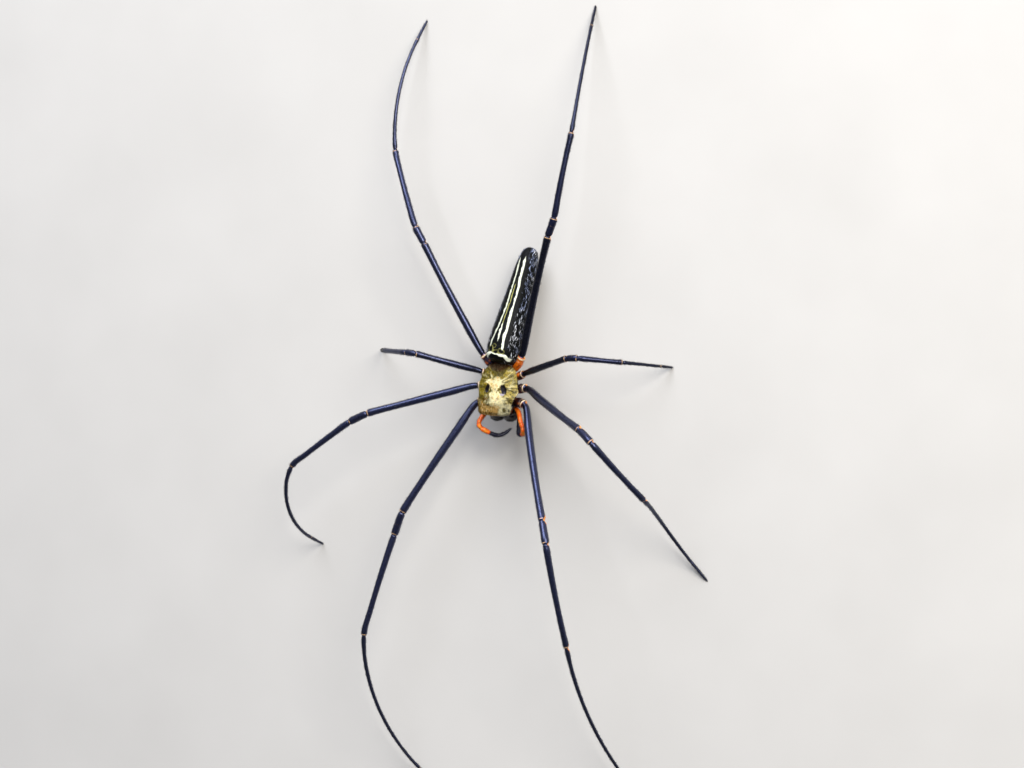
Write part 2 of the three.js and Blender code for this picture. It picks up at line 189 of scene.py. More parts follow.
def newMaterial(name, fixed, varying):
    material = bpy.data.materials.new(name)
    material.use_nodes = True
    shader = material.node_tree.nodes["Principled BSDF"]
    for socket, value in fixed.items():
        shader.inputs[socket].default_value = value
    for socket, value in varying(Shade(material.node_tree)).items():
        material.node_tree.links.new(value.socket, shader.inputs[socket])
    return material


# Small measures used by the forms
def swell(distance, radius):
    return np.exp(-(distance / radius) ** 2)


def smooth(value, low, high):
    share = np.clip((value - low) / (high - low), 0, 1)
    return share * share * (3 - 2 * share)


def unit(vectors):
    return vectors / np.maximum(np.linalg.norm(vectors, axis=-1, keepdims=True), 1e-12)


def blendOf(first, second, share):
    return first + (second - first) * share


def turnsRound(columns):
    return np.arange(columns) / columns * 2 * math.pi


# The part of a way that runs along a skin
def alongSkin(ways, normals):
    return unit(ways - normals * np.sum(ways * normals, axis=-1, keepdims=True))


def signedPower(value, power):
    return np.sign(value) * np.abs(value) ** power


# A way by its heading, from straight ahead round to one side, and its rise, both in degrees
def towards(heading, rise, side=1):
    out = math.radians(heading)
    up = math.radians(rise)
    return np.array([side * math.sin(out) * math.cos(up), -math.cos(out) * math.cos(up), math.sin(up)])


# Meshes
def makeMesh(name, points, faces, values=None, material=None):
    mesh = bpy.data.meshes.new(name)
    points = np.asarray(points, float).reshape(-1, 3)
    corners = np.concatenate([part.ravel() for part in faces])
    sizes = np.concatenate([np.full(len(part), part.shape[1]) for part in faces])
    mesh.vertices.add(len(points))
    mesh.vertices.foreach_set("co", (points * mm + origin).ravel())
    mesh.loops.add(len(corners))
    mesh.loops.foreach_set("vertex_index", corners.astype(np.int32))
    mesh.polygons.add(len(sizes))
    mesh.polygons.foreach_set("loop_start", np.concatenate([[0], np.cumsum(sizes)[:-1]]).astype(np.int32))
    mesh.update(calc_edges=True)
    mesh.shade_smooth()
    for key, value in (values or {}).items():
        data = np.asarray(value, np.float32).ravel()
        mesh.attributes.new(key, "FLOAT", "POINT").data.foreach_set("value", data)
    piece = bpy.data.objects.new(name, mesh)
    bpy.context.scene.collection.objects.link(piece)
    mesh.materials.append(material)
    return piece


def finishPiece(piece, replaced=()):
    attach(piece, "root")
    if replaced:
        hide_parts(*replaced)


# Points and faces of a skin made of rings, closed at both ends
def ringSkin(grid):
    rows, columns = grid.shape[:2]
    ring = np.arange(rows * columns).reshape(rows, columns)
    beside = np.roll(ring, -1, axis=1)
    quads = np.stack([ring[:-1], beside[:-1], beside[1:], ring[1:]], axis=-1).reshape(-1, 4)
    firstPole = np.full(columns, rows * columns)
    lastPole = firstPole + 1
    fans = np.concatenate([
        np.stack([firstPole, beside[0], ring[0]], axis=-1),
        np.stack([lastPole, ring[-1], beside[-1]], axis=-1),
    ])
    points = np.concatenate([grid.reshape(-1, 3), [grid[0].mean(axis=0), grid[-1].mean(axis=0)]])
    a, b, c = (points[quads[:, k]] for k in (0, 1, 2))
    volume = np.sum(np.cross(b - a, c - a) * (a - points.mean(axis=0)))
    if volume < 0:
        quads = quads[:, ::-1]
        fans = fans[:, ::-1]
    return points, [quads, fans]


def withPoles(values):
    return np.concatenate([values.ravel(), [values[0].mean(), values[-1].mean()]])


def makeRingSkin(name, grid, values, material):
    points, faces = ringSkin(grid)
    poled = {key: withPoles(value) for key, value in values.items()}
    return makeMesh(name, points, faces, poled, material)


def addSkin(name, grid, values, material, replaced):
    finishPiece(makeRingSkin(name, grid, values, material), replaced)


# Several closed skins in one mesh
def joinSkins(name, skins, material):
    points = []
    faces = [[], []]
    values = {}
    count = 0
    for grid, given in skins:
        skinPoints, skinFaces = ringSkin(grid)
        for kind in (0, 1):
            faces[kind].append(skinFaces[kind] + count)
        points.append(skinPoints)
        count += len(skinPoints)
        for key, value in given.items():
            values.setdefault(key, []).append(withPoles(value))
    merged = {key: np.concatenate(value) for key, value in values.items()}
    faces = [np.concatenate(part) for part in faces]
    return makeMesh(name, np.concatenate(points), faces, merged, material)


def gridNormals(grid):
    down = np.gradient(grid, axis=0)
    across = (np.roll(grid, -1, axis=1) - np.roll(grid, 1, axis=1)) / 2
    normals = unit(np.cross(across, down))
    centres = grid.mean(axis=1, keepdims=True)
    if np.sum(normals * (grid - centres)) < 0:
        normals = -normals
    return normals


# Centre lines: a smooth curve through points, with frames that turn no more than the line itself
stepsBetween = 40


def lineThrough(points, spacing=0.05):
    points = np.asarray(points, float)
    lead = np.concatenate([[2 * points[0] - points[1]], points, [2 * points[-1] - points[-2]]])
    steps = (np.arange(stepsBetween) / stepsBetween)[:, None]
    places = []
    for i in range(len(points) - 1):
        p0, p1, p2, p3 = lead[i:i + 4]
        d0, d1, d2 = (np.linalg.norm(b - a) ** 0.5 for a, b in ((p0, p1), (p1, p2), (p2, p3)))
        leave = ((p1 - p0) / d0 - (p2 - p0) / (d0 + d1) + (p2 - p1) / d1) * d1
        arrive = ((p2 - p1) / d1 - (p3 - p1) / (d1 + d2) + (p3 - p2) / d2) * d1
        third = -3 * p1 + 3 * p2 - 2 * leave - arrive
        fourth = 2 * p1 - 2 * p2 + leave + arrive
        places.append(p1 + leave * steps + third * steps ** 2 + fourth * steps ** 3)
    places = np.concatenate(places + [points[-1:]])
    gone = np.concatenate([[0], np.cumsum(np.linalg.norm(np.diff(places, axis=0), axis=1))])
    stations = np.linspace(0, gone[-1], int(gone[-1] / spacing) + 2)
    even = np.stack([np.interp(stations, gone, places[:, k]) for k in range(3)], axis=-1)
    forward = unit(np.gradient(even, axis=0))
    below = np.zeros_like(even)
    side = np.array([0.0, 0.0, -1.0])
    for i, way in enumerate(forward):
        side = side - way * np.dot(side, way)
        side = side / np.linalg.norm(side)
        below[i] = side
    return {"length": gone[-1], "stations": stations, "places": even, "forward": forward, "below": below}


def onLine(line, stations, key):
    return np.stack([np.interp(stations, line["stations"], line[key][:, k]) for k in range(3)], axis=-1)


def nearestStation(line, point):
    gaps = np.linalg.norm(line["places"] - np.asarray(point), axis=1)
    return line["stations"][np.argmin(gaps)]


# Rings round a line; radius is a table of stations by turns, and turn 0 is the under side
def ringsRound(line, stations, radius):
    turns = turnsRound(radius.shape[1])
    places = onLine(line, stations, "places")[:, None]
    forward = unit(onLine(line, stations, "forward"))
    below = unit(onLine(line, stations, "below"))
    beside = np.cross(forward, below)
    spoke = below[:, None] * np.cos(turns)[:, None] + beside[:, None] * np.sin(turns)[:, None]
    return places + spoke * radius[..., None], forward


# Each value becomes the mean of itself and its neighbours
def evenOut(values, count):
    return np.convolve(np.pad(values, count // 2, "edge"), np.ones(count) / count, "valid")


def smoothTable(table, at):
    shares, values = np.array(table, float).T
    order = np.clip(np.searchsorted(shares, at) - 1, 0, len(shares) - 2)
    part = np.clip((at - shares[order]) / (shares[order + 1] - shares[order]), 0, 1)
    return blendOf(values[order], values[order + 1], part * part * (3 - 2 * part))


# Coats: each hair or tuft is a thin spike that leaves the skin and bends to lie along it
hairForm = {
    # how far round half a turn a hair bends, how far ahead a clump's head lies, and which clumps lie flat
    "sides": 3, "bend": 0.62, "clumpAhead": 1.1, "flatClumps": 0.4,
    # the least rise and width, and how much more there can be
    "rises": (0.6, 0.8), "widths": (0.75, 0.5),
}
fineHair = {"sink": 0.03, "flat": 1.0, "shape": [(0, 1.0), (0.45, 0.8)], "sweep": 0.1}


def plantRoots(grid, lie, weight, count, random):
    below = np.diff(grid, axis=0)
    beside = np.roll(grid, -1, axis=1) - grid
    area = np.linalg.norm(np.cross(below, beside[:-1]), axis=-1) * weight[:-1]
    chance = np.cumsum(area.ravel())
    picks = np.searchsorted(chance, random.random_sample(count) * chance[-1])
    rows, columns = grid.shape[:2]
    row, column = np.divmod(np.clip(picks, 0, (rows - 1) * columns - 1), columns)
    down = random.random_sample(count)[:, None]
    over = random.random_sample(count)[:, None]
    nextColumn = (column + 1) % columns

    def between(table):
        near = blendOf(table[row, column], table[row, nextColumn], over)
        far = blendOf(table[row + 1, column], table[row + 1, nextColumn], over)
        return blendOf(near, far, down)

    normals = unit(between(gridNormals(grid)))
    unwrap = np.stack([(column + over[:, 0]) / columns, (row + down[:, 0]) / (rows - 1)], axis=-1)
    return {
        "count": count, "points": between(grid), "normals": normals,
        "ways": alongSkin(between(lie), normals), "unwrap": unwrap, "between": between,
    }


def makeCoat(name, roots, look, values, material, random):
    count = roots["count"]
    normals = roots["normals"]
    spread = random.normal(0, look["spread"], count)[:, None]
    ways = unit(roots["ways"] + np.cross(roots["ways"], normals) * spread)
    across = unit(np.cross(ways, normals))
    length = look["length"] * (1 + look["vary"] * (random.random_sample(count) * 2 - 1))[:, None]
    if "lengthBy" in look:
        length = length * look["lengthBy"][:, None]
    leastRise, moreRise = hairForm["rises"]
    rise = look["rise"] * (leastRise + moreRise * random.random_sample(count))[:, None]
    tone = random.random_sample(count)
    if "clumps" in look:
        clump = gatherClumps(roots["points"], look["clumps"])
        heads = clump["points"] + clump["ways"] * look["length"] * hairForm["clumpAhead"]
        ways = unit(blendOf(ways, unit(heads - roots["points"]), look["gather"]))
        ways = alongSkin(ways, normals)
        rise = rise * (1 + look["clumpRise"] * (clump["tone"][:, None] - hairForm["flatClumps"]))
        tone = blendOf(tone, clump["tone"], look["clumpTone"])
    sweep = random.normal(0, look["sweep"], count)[:, None] * length
    leastWidth, moreWidth = hairForm["widths"]
    width = look["width"] * (leastWidth + moreWidth * random.random_sample(count))[:, None]

    def centreAt(share):
        out = rise * length * math.sin(share * math.pi * hairForm["bend"]) - look["sink"] * (share == 0)
        return roots["points"] + ways * length * share + normals * out + across * sweep * share ** 2

    rings = []
    for share, thick in look["shape"]:
        centre = centreAt(share)
        for side in range(hairForm["sides"]):
            angle = math.radians(90) + side / hairForm["sides"] * 2 * math.pi
            spoke = across * math.cos(angle) + normals * math.sin(angle) * look["flat"]
            rings.append(centre + spoke * width * thick)
    rings.append(centreAt(1))
    points = np.clip(np.stack(rings, axis=1), reach[0], reach[1])
    each = points.shape[1]
    spreadValues = {key: np.repeat(value, each) for key, value in values.items()}
    spreadValues["tone"] = np.repeat(tone, each)
    piece = makeMesh(name, points, hairFaces(count, len(look["shape"]), each), spreadValues, material)
    addUnwrap(piece.data, roots["unwrap"], each)
    return piece


def addHair(name, grid, lie, weight, look, material, random):
    roots = plantRoots(grid, lie, weight, look["count"], random)
    finishPiece(makeCoat(name, roots, look, {}, material, random))


# Faces of all hairs: bands between their rings, and three triangles to each tip
def hairFaces(count, levels, each):
    sides = range(hairForm["sides"])
    bands = []
    for low in range(0, (levels - 1) * len(sides), len(sides)):
        for side in sides:
            beside = (side + 1) % len(sides)
            bands.append([low + side, low + beside, low + beside + len(sides), low + side + len(sides)])
    top = (levels - 1) * len(sides)
    tips = [[top + side, top + (side + 1) % len(sides), each - 1] for side in sides]
    base = (np.arange(count) * each)[:, None, None]
    return [(np.array(bands) + base).reshape(-1, 4), (np.array(tips) + base).reshape(-1, 3)]


# Each hair joins the nearest of some clumps, whose own roots were planted before
def gatherClumps(points, clumps):
    tree = KDTree(clumps["count"])
    for i, point in enumerate(clumps["points"]):
        tree.insert(point, i)
    tree.balance()
    nearest = np.array([tree.find(point)[1] for point in points])
    return {key: clumps[key][nearest] for key in ("points", "ways", "tone")}


# Each tuft is a small patch at its root's place on the skin's unwrap
patchSize = 0.003


def addUnwrap(mesh, rootPlaces, each):
    corner = np.zeros(len(mesh.loops), np.int32)
    mesh.loops.foreach_get("vertex_index", corner)
    tuft, part = np.divmod(corner, each)
    sides = hairForm["sides"]
    level, turn = np.divmod(part, sides)
    offset = np.stack([turn / (sides - 1), level / (each // sides)], axis=-1) * patchSize - patchSize / 2
    unwrap = rootPlaces[tuft] * (1 - 2 * patchSize) + patchSize + offset
    layer = mesh.uv_layers.new(name="OFBake")
    layer.data.foreach_set("uv", unwrap.astype(np.float32).ravel())


print("stage: frame loaded")

# Camera: above the spider and a little to its left, turned with it as in the picture
viewer = {
    "heading": 94.6189, "rise": 64.8768, "roll": -91.5773,
    "target": (2.387, 0.0, 9.126), "distance": 751.14, "lens": 120.0, "sensorWidth": 36,
}


def toWorld(point):
    return Vector(np.asarray(point, float) * mm + origin)


def makeCamera():
    data = bpy.data.cameras.new("camera")
    data.sensor_width = viewer["sensorWidth"]
    data.lens = viewer["lens"]
    data.clip_start = 0.01
    data.clip_end = 20
    camera = bpy.data.objects.new("camera", data)
    bpy.context.scene.collection.objects.link(camera)
    back = towards(viewer["heading"], viewer["rise"])
    where = toWorld(viewer["target"] + back * viewer["distance"])
    facing = Vector(back).to_track_quat("Z", "Y").to_matrix().to_4x4()
    roll = Matrix.Rotation(math.radians(viewer["roll"]), 4, "Z")
    camera.matrix_world = Matrix.Translation(where) @ facing @ roll
    bpy.context.scene.camera = camera


makeCamera()

# Floor and light
floor = {
    "size": 4000.0, "cells": 40, "grain": 30, "colour": tint(196, 193, 187), "shade": tint(184, 181, 175),
}
studio = {
    # a soft wall of light to the rear of the spider, fading to a dim room in front
    "dim": (0.16, 0.165, 0.18, 1), "bright": (0.62, 0.66, 0.78, 1),
    "brightWay": (0.15, 0.93, 0.33), "brightFrom": -0.2, "brightTo": 0.95,
    "boxDistance": 800,
    "boxes": {
        "key": {"way": (0.8, 0.62, 0.95), "size": 420, "power": 7.5, "colour": (1.0, 0.97, 0.92)},
        "sky": {"way": (-0.155, 0.77, 0.62), "size": 500, "power": 7.0, "colour": (0.86, 0.9, 1.0)},
    },
}


def makeFloor():
    half = floor["size"] / 2
    count = floor["cells"] + 1
    x, y = np.meshgrid(np.linspace(-half, half, count), np.linspace(-half, half, count))
    grid = np.stack([x, y, np.full_like(x, ownFrame["footLevel"])], axis=-1)
    ring = np.arange(count * count).reshape(count, count)
    quads = np.stack([ring[:-1, :-1], ring[:-1, 1:], ring[1:, 1:], ring[1:, :-1]], axis=-1).reshape(-1, 4)

    def varying(s):
        soft = s.noise(floor["grain"], 3)
        return {"Base Color": s.mixColour(soft, floor["colour"], floor["shade"])}

    material = newMaterial("paleFloor", {"Roughness": 0.8, "Specular IOR Level": 0.2}, varying)
    makeMesh("floor", grid, [quads], None, material)


def addSoftbox(name, box):
    data = bpy.data.lights.new(name, "AREA")
    data.shape = "SQUARE"
    data.size = box["size"] * mm
    data.energy = box["power"]
    data.color = box["colour"]
    light = bpy.data.objects.new(name, data)
    bpy.context.scene.collection.objects.link(light)
    way = Vector(box["way"]).normalized()
    light.location = toWorld(viewer["target"]) + way * studio["boxDistance"] * mm
    light.rotation_euler = way.to_track_quat("Z", "Y").to_euler()


def makeStudio():
    world = bpy.data.worlds.new("studio")
    bpy.context.scene.world = world
    world.use_nodes = True
    s = Shade(world.node_tree)
    way = s.node("ShaderNodeTexCoord", output="Generated")
    toWall = s.vectorMath("DOT_PRODUCT", way, studio["brightWay"], "Value")
    share = toWall.rise(studio["brightFrom"], studio["brightTo"])
    colour = s.mixColour(share, studio["dim"], studio["bright"])
    world.node_tree.links.new(colour.socket, world.node_tree.nodes["Background"].inputs["Color"])
    for name, box in studio["boxes"].items():
        addSoftbox(name, box)
    bpy.context.scene.view_settings.view_transform = "Standard"


makeFloor()
makeStudio()
print("stage: camera, floor and light")

# Legs. Each runs on one centre line from its root in the body, through the hip, to the claws
legPlan = {
    "coxaLevel": 8.1, "coxaShares": (0, 0.4, 0.75),
    # how far femur, patella and tibia bow up, and how near the curve comes to each joint
    "bows": (0.02, 0.0, 0.02), "bowShares": [0.25, 0.5, 0.75], "setback": 0.9, "setbackShare": 0.3,
    "lastSteps": 8,
}
# The lengths are those of femur, patella, tibia, metatarsus and tarsus
legPairs = [
    {"root": (2.75, -3.85), "hip": (5.9, -4.25, 9.1), "bulk": 1.0, "lengths": (29.8, 5.6, 23.7, 35.0, 6.3)},
    {"root": (3.1, -1.15), "hip": (6.05, -0.65, 9.1), "bulk": 0.98, "lengths": (25.8, 4.9, 18.1, 21.5, 4.8)},
    {"root": (3.05, 1.5), "hip": (5.25, 2.45, 9.1), "bulk": 0.86, "lengths": (15.3, 2.9, 9.9, 9.8, 3.1)},
    {"root": (2.4, 3.4), "hip": (4.85, 6.25, 9.6), "bulk": 0.97, "lengths": (28.0, 4.3, 18.9, 26.6, 5.1)},
]

# How each of them points: heading from straight ahead round to its own side, and rise, in degrees
stances = {
    "left": [
        [(24.7, 25.9), (23.6, 22.8), (7.7, -16.2), (7.6, -16.1), (30.4, -31.7)],
        [(68.4, 34.9), (56.4, 24.4), (35.0, -34.9), (5.3, -65.7), (39.4, -17.7)],
        [(107.3, 26.0), (93.0, 10.6), (86.3, -34.9), (85.2, -47.8), (83.5, -58.6)],
        [(164.7, 11.0), (161.4, 1.7), (172.2, -4.1), (180.8, -17.5), (185.3, -31.0)],
    ],
    "right": [
        [(29.3, 12.0), (20.9, -5.7), (15.2, 1.8), (4.5, -14.2), (-40.2, -27.3)],
        [(72.2, 14.9), (64.1, -2.3), (52.9, -0.1), (19.6, 2.1), (-27.4, -67.3)],
        [(105.2, 35.0), (91.9, -16.0), (89.8, -34.0), (88.4, -55.9), (87.5, -65.2)],
        [(149.0, 5.7), (147.7, 2.5), (155.6, -11.0), (174.6, 2.3), (191.9, -29.8)],
    ],
}

# Half thickness along each segment, as (share of its length, radius)
legRadii = {
    "hip": [(0, 0.95), (0.2, 1.12), (0.5, 1.18), (0.66, 0.98), (0.74, 0.9), (0.84, 1.02), (1, 0.82)],
    "femur": [(0, 0.74), (0.06, 0.78), (0.2, 0.9), (0.45, 0.88), (0.75, 0.8), (0.9, 0.84), (0.97, 0.9),
              (1, 0.8)],
    "patella": [(0, 0.76), (0.15, 0.86), (0.5, 0.86), (0.82, 0.9), (1, 0.78)],
    "tibia": [(0, 0.7), (0.06, 0.78), (0.3, 0.72), (0.6, 0.66), (0.88, 0.68), (0.96, 0.74), (1, 0.62)],
    "metatarsus": [(0, 0.5), (0.03, 0.58), (0.1, 0.47), (0.4, 0.42), (0.78, 0.37), (0.82, 0.4), (0.86, 0.35),
                   (0.94, 0.3), (0.99, 0.24), (1, 0.12)],
}
legSkin = {
    # rings stand fine up to one distance from a joint, and coarse from the other on
    "coat": 0.04, "columns": 28, "fine": 0.06, "coarse": 0.3, "fineReach": (0.8, 2.4), "evened": 5,
    # a notch at each joint, deeper and wider underneath, between two low rims, all smaller at the tarsus
    "notch": 0.14, "underNotch": 0.08, "notchWidth": 0.13, "underWidth": 0.26,
    "rim": 0.05, "rimAt": 1.9, "rimWidth": 0.16, "tarsusSize": 0.5,
    # how much pale membrane shows under each joint, hip to tarsus
    "membranes": [0.7, 1.0, 0.4, 0.8, 0.15], "bareReach": 0.12, "underReach": 1.1,
    "footLength": 0.5, "footShare": 0.5,
}


def legLine(pair, stance, side):
    root = np.array([side * pair["root"][0], pair["root"][1], legPlan["coxaLevel"]])
    hip = np.array([side * pair["hip"][0], pair["hip"][1], pair["hip"][2]])
    points = [blendOf(root, hip, share) for share in legPlan["coxaShares"]]
    joints = [hip]
    end = hip
    for length, angles, bowed in zip(pair["lengths"], stance, legPlan["bows"]):
        start = end
        way = towards(*angles, side)
        end = start + way * length
        bowWay = unit(np.array([0.0, 0.0, 1.0]) - way * way[2])
        setback = min(legPlan["setbackShare"], legPlan["setback"] / length)
        middle = legPlan["bowShares"] if bowed else []
        for share in [setback, *middle, 1 - setback]:
            bow = 4 * share * (1 - share) * bowed * length
            points.append(blendOf(start, end, share) + bowWay * bow)
        joints.append(end)
    # the metatarsus turns step by step into the way of the tarsus
    metatarsus, tarsus = pair["lengths"][3:]
    steps = legPlan["lastSteps"]
    for i in range(steps):
        angles = (blendOf(before, after, (i + 0.5) / steps) for before, after in zip(stance[3], stance[4]))
        end = end + towards(*angles, side) * metatarsus / steps
        points.append(end)
    points.append(end + towards(*stance[4], side) * tarsus)
    line = lineThrough(points)
    cuts = [0.0] + [nearestStation(line, joint) for joint in joints]
    return line, cuts + [line["length"] - tarsus, line["length"]]


# Stations close together at the joints and further apart between them
def stationsAlong(length, joints, fine, coarse):
    spots = [0.0]
    while spots[-1] < length - fine:
        gap = min(abs(spots[-1] - joint) for joint in joints)
        spots.append(spots[-1] + float(np.interp(gap, legSkin["fineReach"], [fine, coarse])))
    spots[-1] = length
    return np.array(spots)


def legSurface(pair, stance, side):
    line, cuts = legLine(pair, stance, side)
    stations = stationsAlong(line["length"], cuts[1:], legSkin["fine"], legSkin["coarse"])
    tip = line["length"]
    ends = cuts[:5] + [tip]
    radius = np.zeros_like(stations)
    for k, name in enumerate(legRadii):
        inside = (stations >= ends[k]) & (stations <= ends[k + 1])
        share = (stations[inside] - ends[k]) / (ends[k + 1] - ends[k])
        radius[inside] = smoothTable(legRadii[name], share) * pair["bulk"]
    radius = evenOut(radius, legSkin["evened"]) - legSkin["coat"]
    under = np.cos(turnsRound(legSkin["columns"]))[None]
    shape, membrane, rim = jointForms(stations, cuts[1:6], under)
    foot = smooth(stations, tip - legSkin["footLength"], tip)[:, None]
    ringRadius = radius[:, None] * shape * (1 - legSkin["footShare"] * foot)
    grid, forward = ringsRound(line, stations, ringRadius)
    grid = np.clip(grid, reach[0], reach[1])
    zone = np.interp(stations, cuts, range(len(cuts)))
    values = {"zone": np.broadcast_to(zone[:, None], shape.shape), "membrane": membrane, "rim": rim}
    return grid, values, np.broadcast_to(forward[:, None], grid.shape)


# Notches, rims and bare membrane at the joints, which open underneath
def jointForms(stations, joints, under):
    low = smooth(under, -0.5, 0.6)
    shape = np.ones((len(stations), legSkin["columns"]))
    membrane = np.zeros_like(shape)
    rim = np.full_like(shape, 9.0)
    for joint, bare in zip(joints, legSkin["membranes"]):
        far = (stations - joint)[:, None]
        size = legSkin["tarsusSize"] if joint == joints[-1] else 1.0
        notch = (legSkin["notch"] + legSkin["underNotch"] * low) * size
        width = legSkin["notchWidth"] + legSkin["underWidth"] * low * bare
        shape = shape - notch * swell(far, width)
        beside = np.abs(far) - width * legSkin["rimAt"]
        shape = shape + legSkin["rim"] * size * swell(beside, legSkin["rimWidth"])
        bareReach = legSkin["bareReach"] + legSkin["underReach"] * smooth(under, -0.3, 0.8) * bare
        opening = np.clip(1.6 - np.abs(far) / bareReach, 0, 1) * bare ** 0.5 * smooth(under, -0.55, 0.05)
        membrane = np.maximum(membrane, opening)
        rim = np.where(np.abs(far) < np.abs(rim), far, rim)
    return shape, membrane, rim


legLook = {
    "amber": tint(214, 104, 18), "redBrown": tint(36, 13, 8), "cream": tint(236, 210, 166),
    # the black cuticle's blue sheen is painted into the blue-black and steel colours
    "black": tint(5, 5, 8), "sheenNavy": tint(9, 11, 28), "steel": tint(8, 11, 22),
    "membrane": tint(240, 176, 60), "orange": tint(214, 92, 12), "rimLine": tint(204, 164, 120),
    "sheen": (0.5, 0.56, 1.0, 1), "hair": tint(10, 9, 12), "paleHair": tint(90, 84, 78),
}


# Colours by zone: whole numbers are the joints, from the leg's root to its tip
def legColour(s, look, sheenBlueness, warmth):
    zone = s.attribute("zone") / 6
    mottle = s.noise(900, 3)
    amber = s.mixColour((mottle + (warmth - 0.5) * 0.5).rise(0.35, 0.65), look["redBrown"], look["amber"])
    black, sheenNavy = look["black"], look["sheenNavy"]
    # the femora's blueness is painted sheen
    upper = blendColour(black, sheenNavy, sheenBlueness)
    bands = zone.ramp([
        (0.0, black), (0.165, black), (0.2, upper), (0.33, upper), (0.36, sheenNavy),
        (0.5, sheenNavy), (0.62, sheenNavy), (0.67, look["steel"]), (0.8, black), (1.0, black),
    ])
    colour = s.mixColour(zone.fall(0.158, 0.163), bands, amber)
    # a faint ring where the hip's two parts meet, and a bright one at its outer end
    faint = zone.rise(0.104, 0.11) * zone.fall(0.116, 0.122) * mottle.rise(0.45, 0.65) * 0.4
    bright = zone.rise(0.138, 0.143) * zone.fall(0.151, 0.156) * mottle.rise(0.3, 0.46)
    return s.mixColour(faint.most(bright), colour, look["cream"])


def blendColour(first, second, share):
    return tuple(blendOf(a, b, share) for a, b in zip(first, second))


def legMaterial(name, sheenBlueness, warmth, gloss=0.75):
    look = legLook

    def varying(s):
        colour = legColour(s, look, sheenBlueness, warmth)
        membrane = s.attribute("membrane") + (s.noise(3000) - 0.5) * 0.5
        bare = membrane.rise(0.42, 0.6)
        gold = s.mixColour(s.noise(2500), look["membrane"], look["orange"])
        edge = membrane.rise(0.2, 0.42)
        colour = s.mixColour(edge * 0.85, colour, look["redBrown"])
        colour = s.mixColour(bare, colour, gold)
        # a broken pale line before each joint from the femur on
        zone = s.attribute("zone")
        beforeJoint = abs(s.attribute("rim") + 0.36).fall(0.03, 0.12)
        line = beforeJoint * s.noise(1100).rise(0.36, 0.56) * zone.rise(1.3, 1.5)
        pores = s.cells(5200).fall(0.1, 0.34)
        return {
            "Base Color": s.mixColour(line, colour, look["rimLine"]),
            "Roughness": 0.22 + 0.14 * s.noise(2600, 3) + 0.1 * zone.rise(4.2, 5.4),
            "Normal": s.bump(s.noise(14000) * 0.4 + pores, 0.35, 0.00002),
        }

    fixed = {"IOR": 1.6, "Specular IOR Level": gloss, "Specular Tint": look["sheen"]}
    return newMaterial(name, fixed, varying)


def hairMaterial(name, dark, pale, share):
    def varying(s):
        tone = s.attribute("tone")
        return {"Base Color": s.mixColour(tone.rise(1 - share, 1.0), dark, pale)}

    return newMaterial(name, {"Roughness": 0.45, "Specular IOR Level": 0.15}, varying)


legCoat = dict(fineHair, count=5200, length=0.42, vary=0.4, spread=0.22, rise=0.34, width=0.013)


# Bristles stand closer together towards the claws, and leave the membrane and the leg's root free
def legBristles(values):
    zone = values["zone"]
    weight = 0.5 + 0.5 * smooth(zone, 3.6, 4.2) + 0.8 * smooth(zone, 4.6, 5.2)
    return weight * (1 - smooth(values["membrane"], 0.2, 0.5)) * smooth(zone, 0.3, 0.5)


def makeLegs():
    # the two front pairs have blue-black femora, their blue painted sheen, and dark hips, the rear ones
    # black femora and hips of orange and dark brown, which are the brighter on the left
    front = legMaterial("navyCuticle", 1.0, 0.15)
    dark = legMaterial("darkHipCuticle", 0.15, 0.25)
    brown = legMaterial("brownHipCuticle", 0.0, 0.45, 0.5)
    amber = legMaterial("amberHipCuticle", 0.0, 0.7, 0.35)
    materials = {"left": (front, front, brown, amber), "right": (front, front, dark, dark)}
    bristle = hairMaterial("legBristle", legLook["hair"], legLook["paleHair"], 0.25)
    for sideName, side in (("left", 1), ("right", -1)):
        for i, pair in enumerate(legPairs):
            number = i + 1
            leg = f"leg_{number}_{sideName}"
            grid, values, lie = legSurface(pair, stances[sideName][i], side)
            nodes = [f"{leg}_{segment}" for segment in legRadii]
            addSkin(leg, grid, values, materials[sideName][i], nodes)
            random = np.random.RandomState(100 + number + 10 * side)
            look = dict(legCoat, count=int(legCoat["count"] * sum(pair["lengths"]) / 100))
            addHair(f"{leg}_hair", grid, lie, legBristles(values), look, bristle, random)


makeLegs()
print("stage: legs")

# Head and thorax shield: a ball drawn out to the outline and height at each place along the body
shield = {
    "rear": 4.35, "front": ownFrame["shieldFront"], "neckFrom": -1.6, "neckTo": -4.4,
    "thorax": {"halfWidth": 4.72, "edgeLevel": 10.3, "top": 13.1, "depth": 0.8, "square": 0.86},
    "head": {"halfWidth": 3.88, "edgeLevel": 11.9, "top": 14.0, "depth": 2.4, "square": 0.56},
    "rearFall": {"from": -1.2, "depth": 2.2},
    "neckDip": {
        "y": -2.9, "length": 1.5, "depth": 0.5, "middleShare": 0.35, "sideAt": 3.2, "sideWidth": 1.6,
    },
    "bluntness": {"front": 9, "rear": 2}, "roundness": {"front": 0.23, "rear": 0.36},
    "coat": 0.16, "rows": 240, "columns": 260, "poleGap": 0.02,
}
pits = {"x": 1.92, "y": -1.3, "width": 0.47, "length": 0.98, "splay": 20.0, "depth": 0.8, "ragged": 0.07}
fovea = {"x": 0.1, "y": -1.45, "radius": 0.17, "depth": 0.35}
headDimple = {"x": 0.75, "y": -3.5, "radius": 0.4, "depth": 0.16}
grooves = {
    "y": -0.75, "headings": (-8, 22, 52), "width": 7.0, "depth": 0.2,
    "starts": (2.0, 2.7), "ends": (3.8, 4.6),
}


def headShare(y):
    return smooth(-y, -shield["neckFrom"], -shield["neckTo"])


def alongShield(measure, y):
    return blendOf(shield["thorax"][measure], shield["head"][measure], headShare(y))


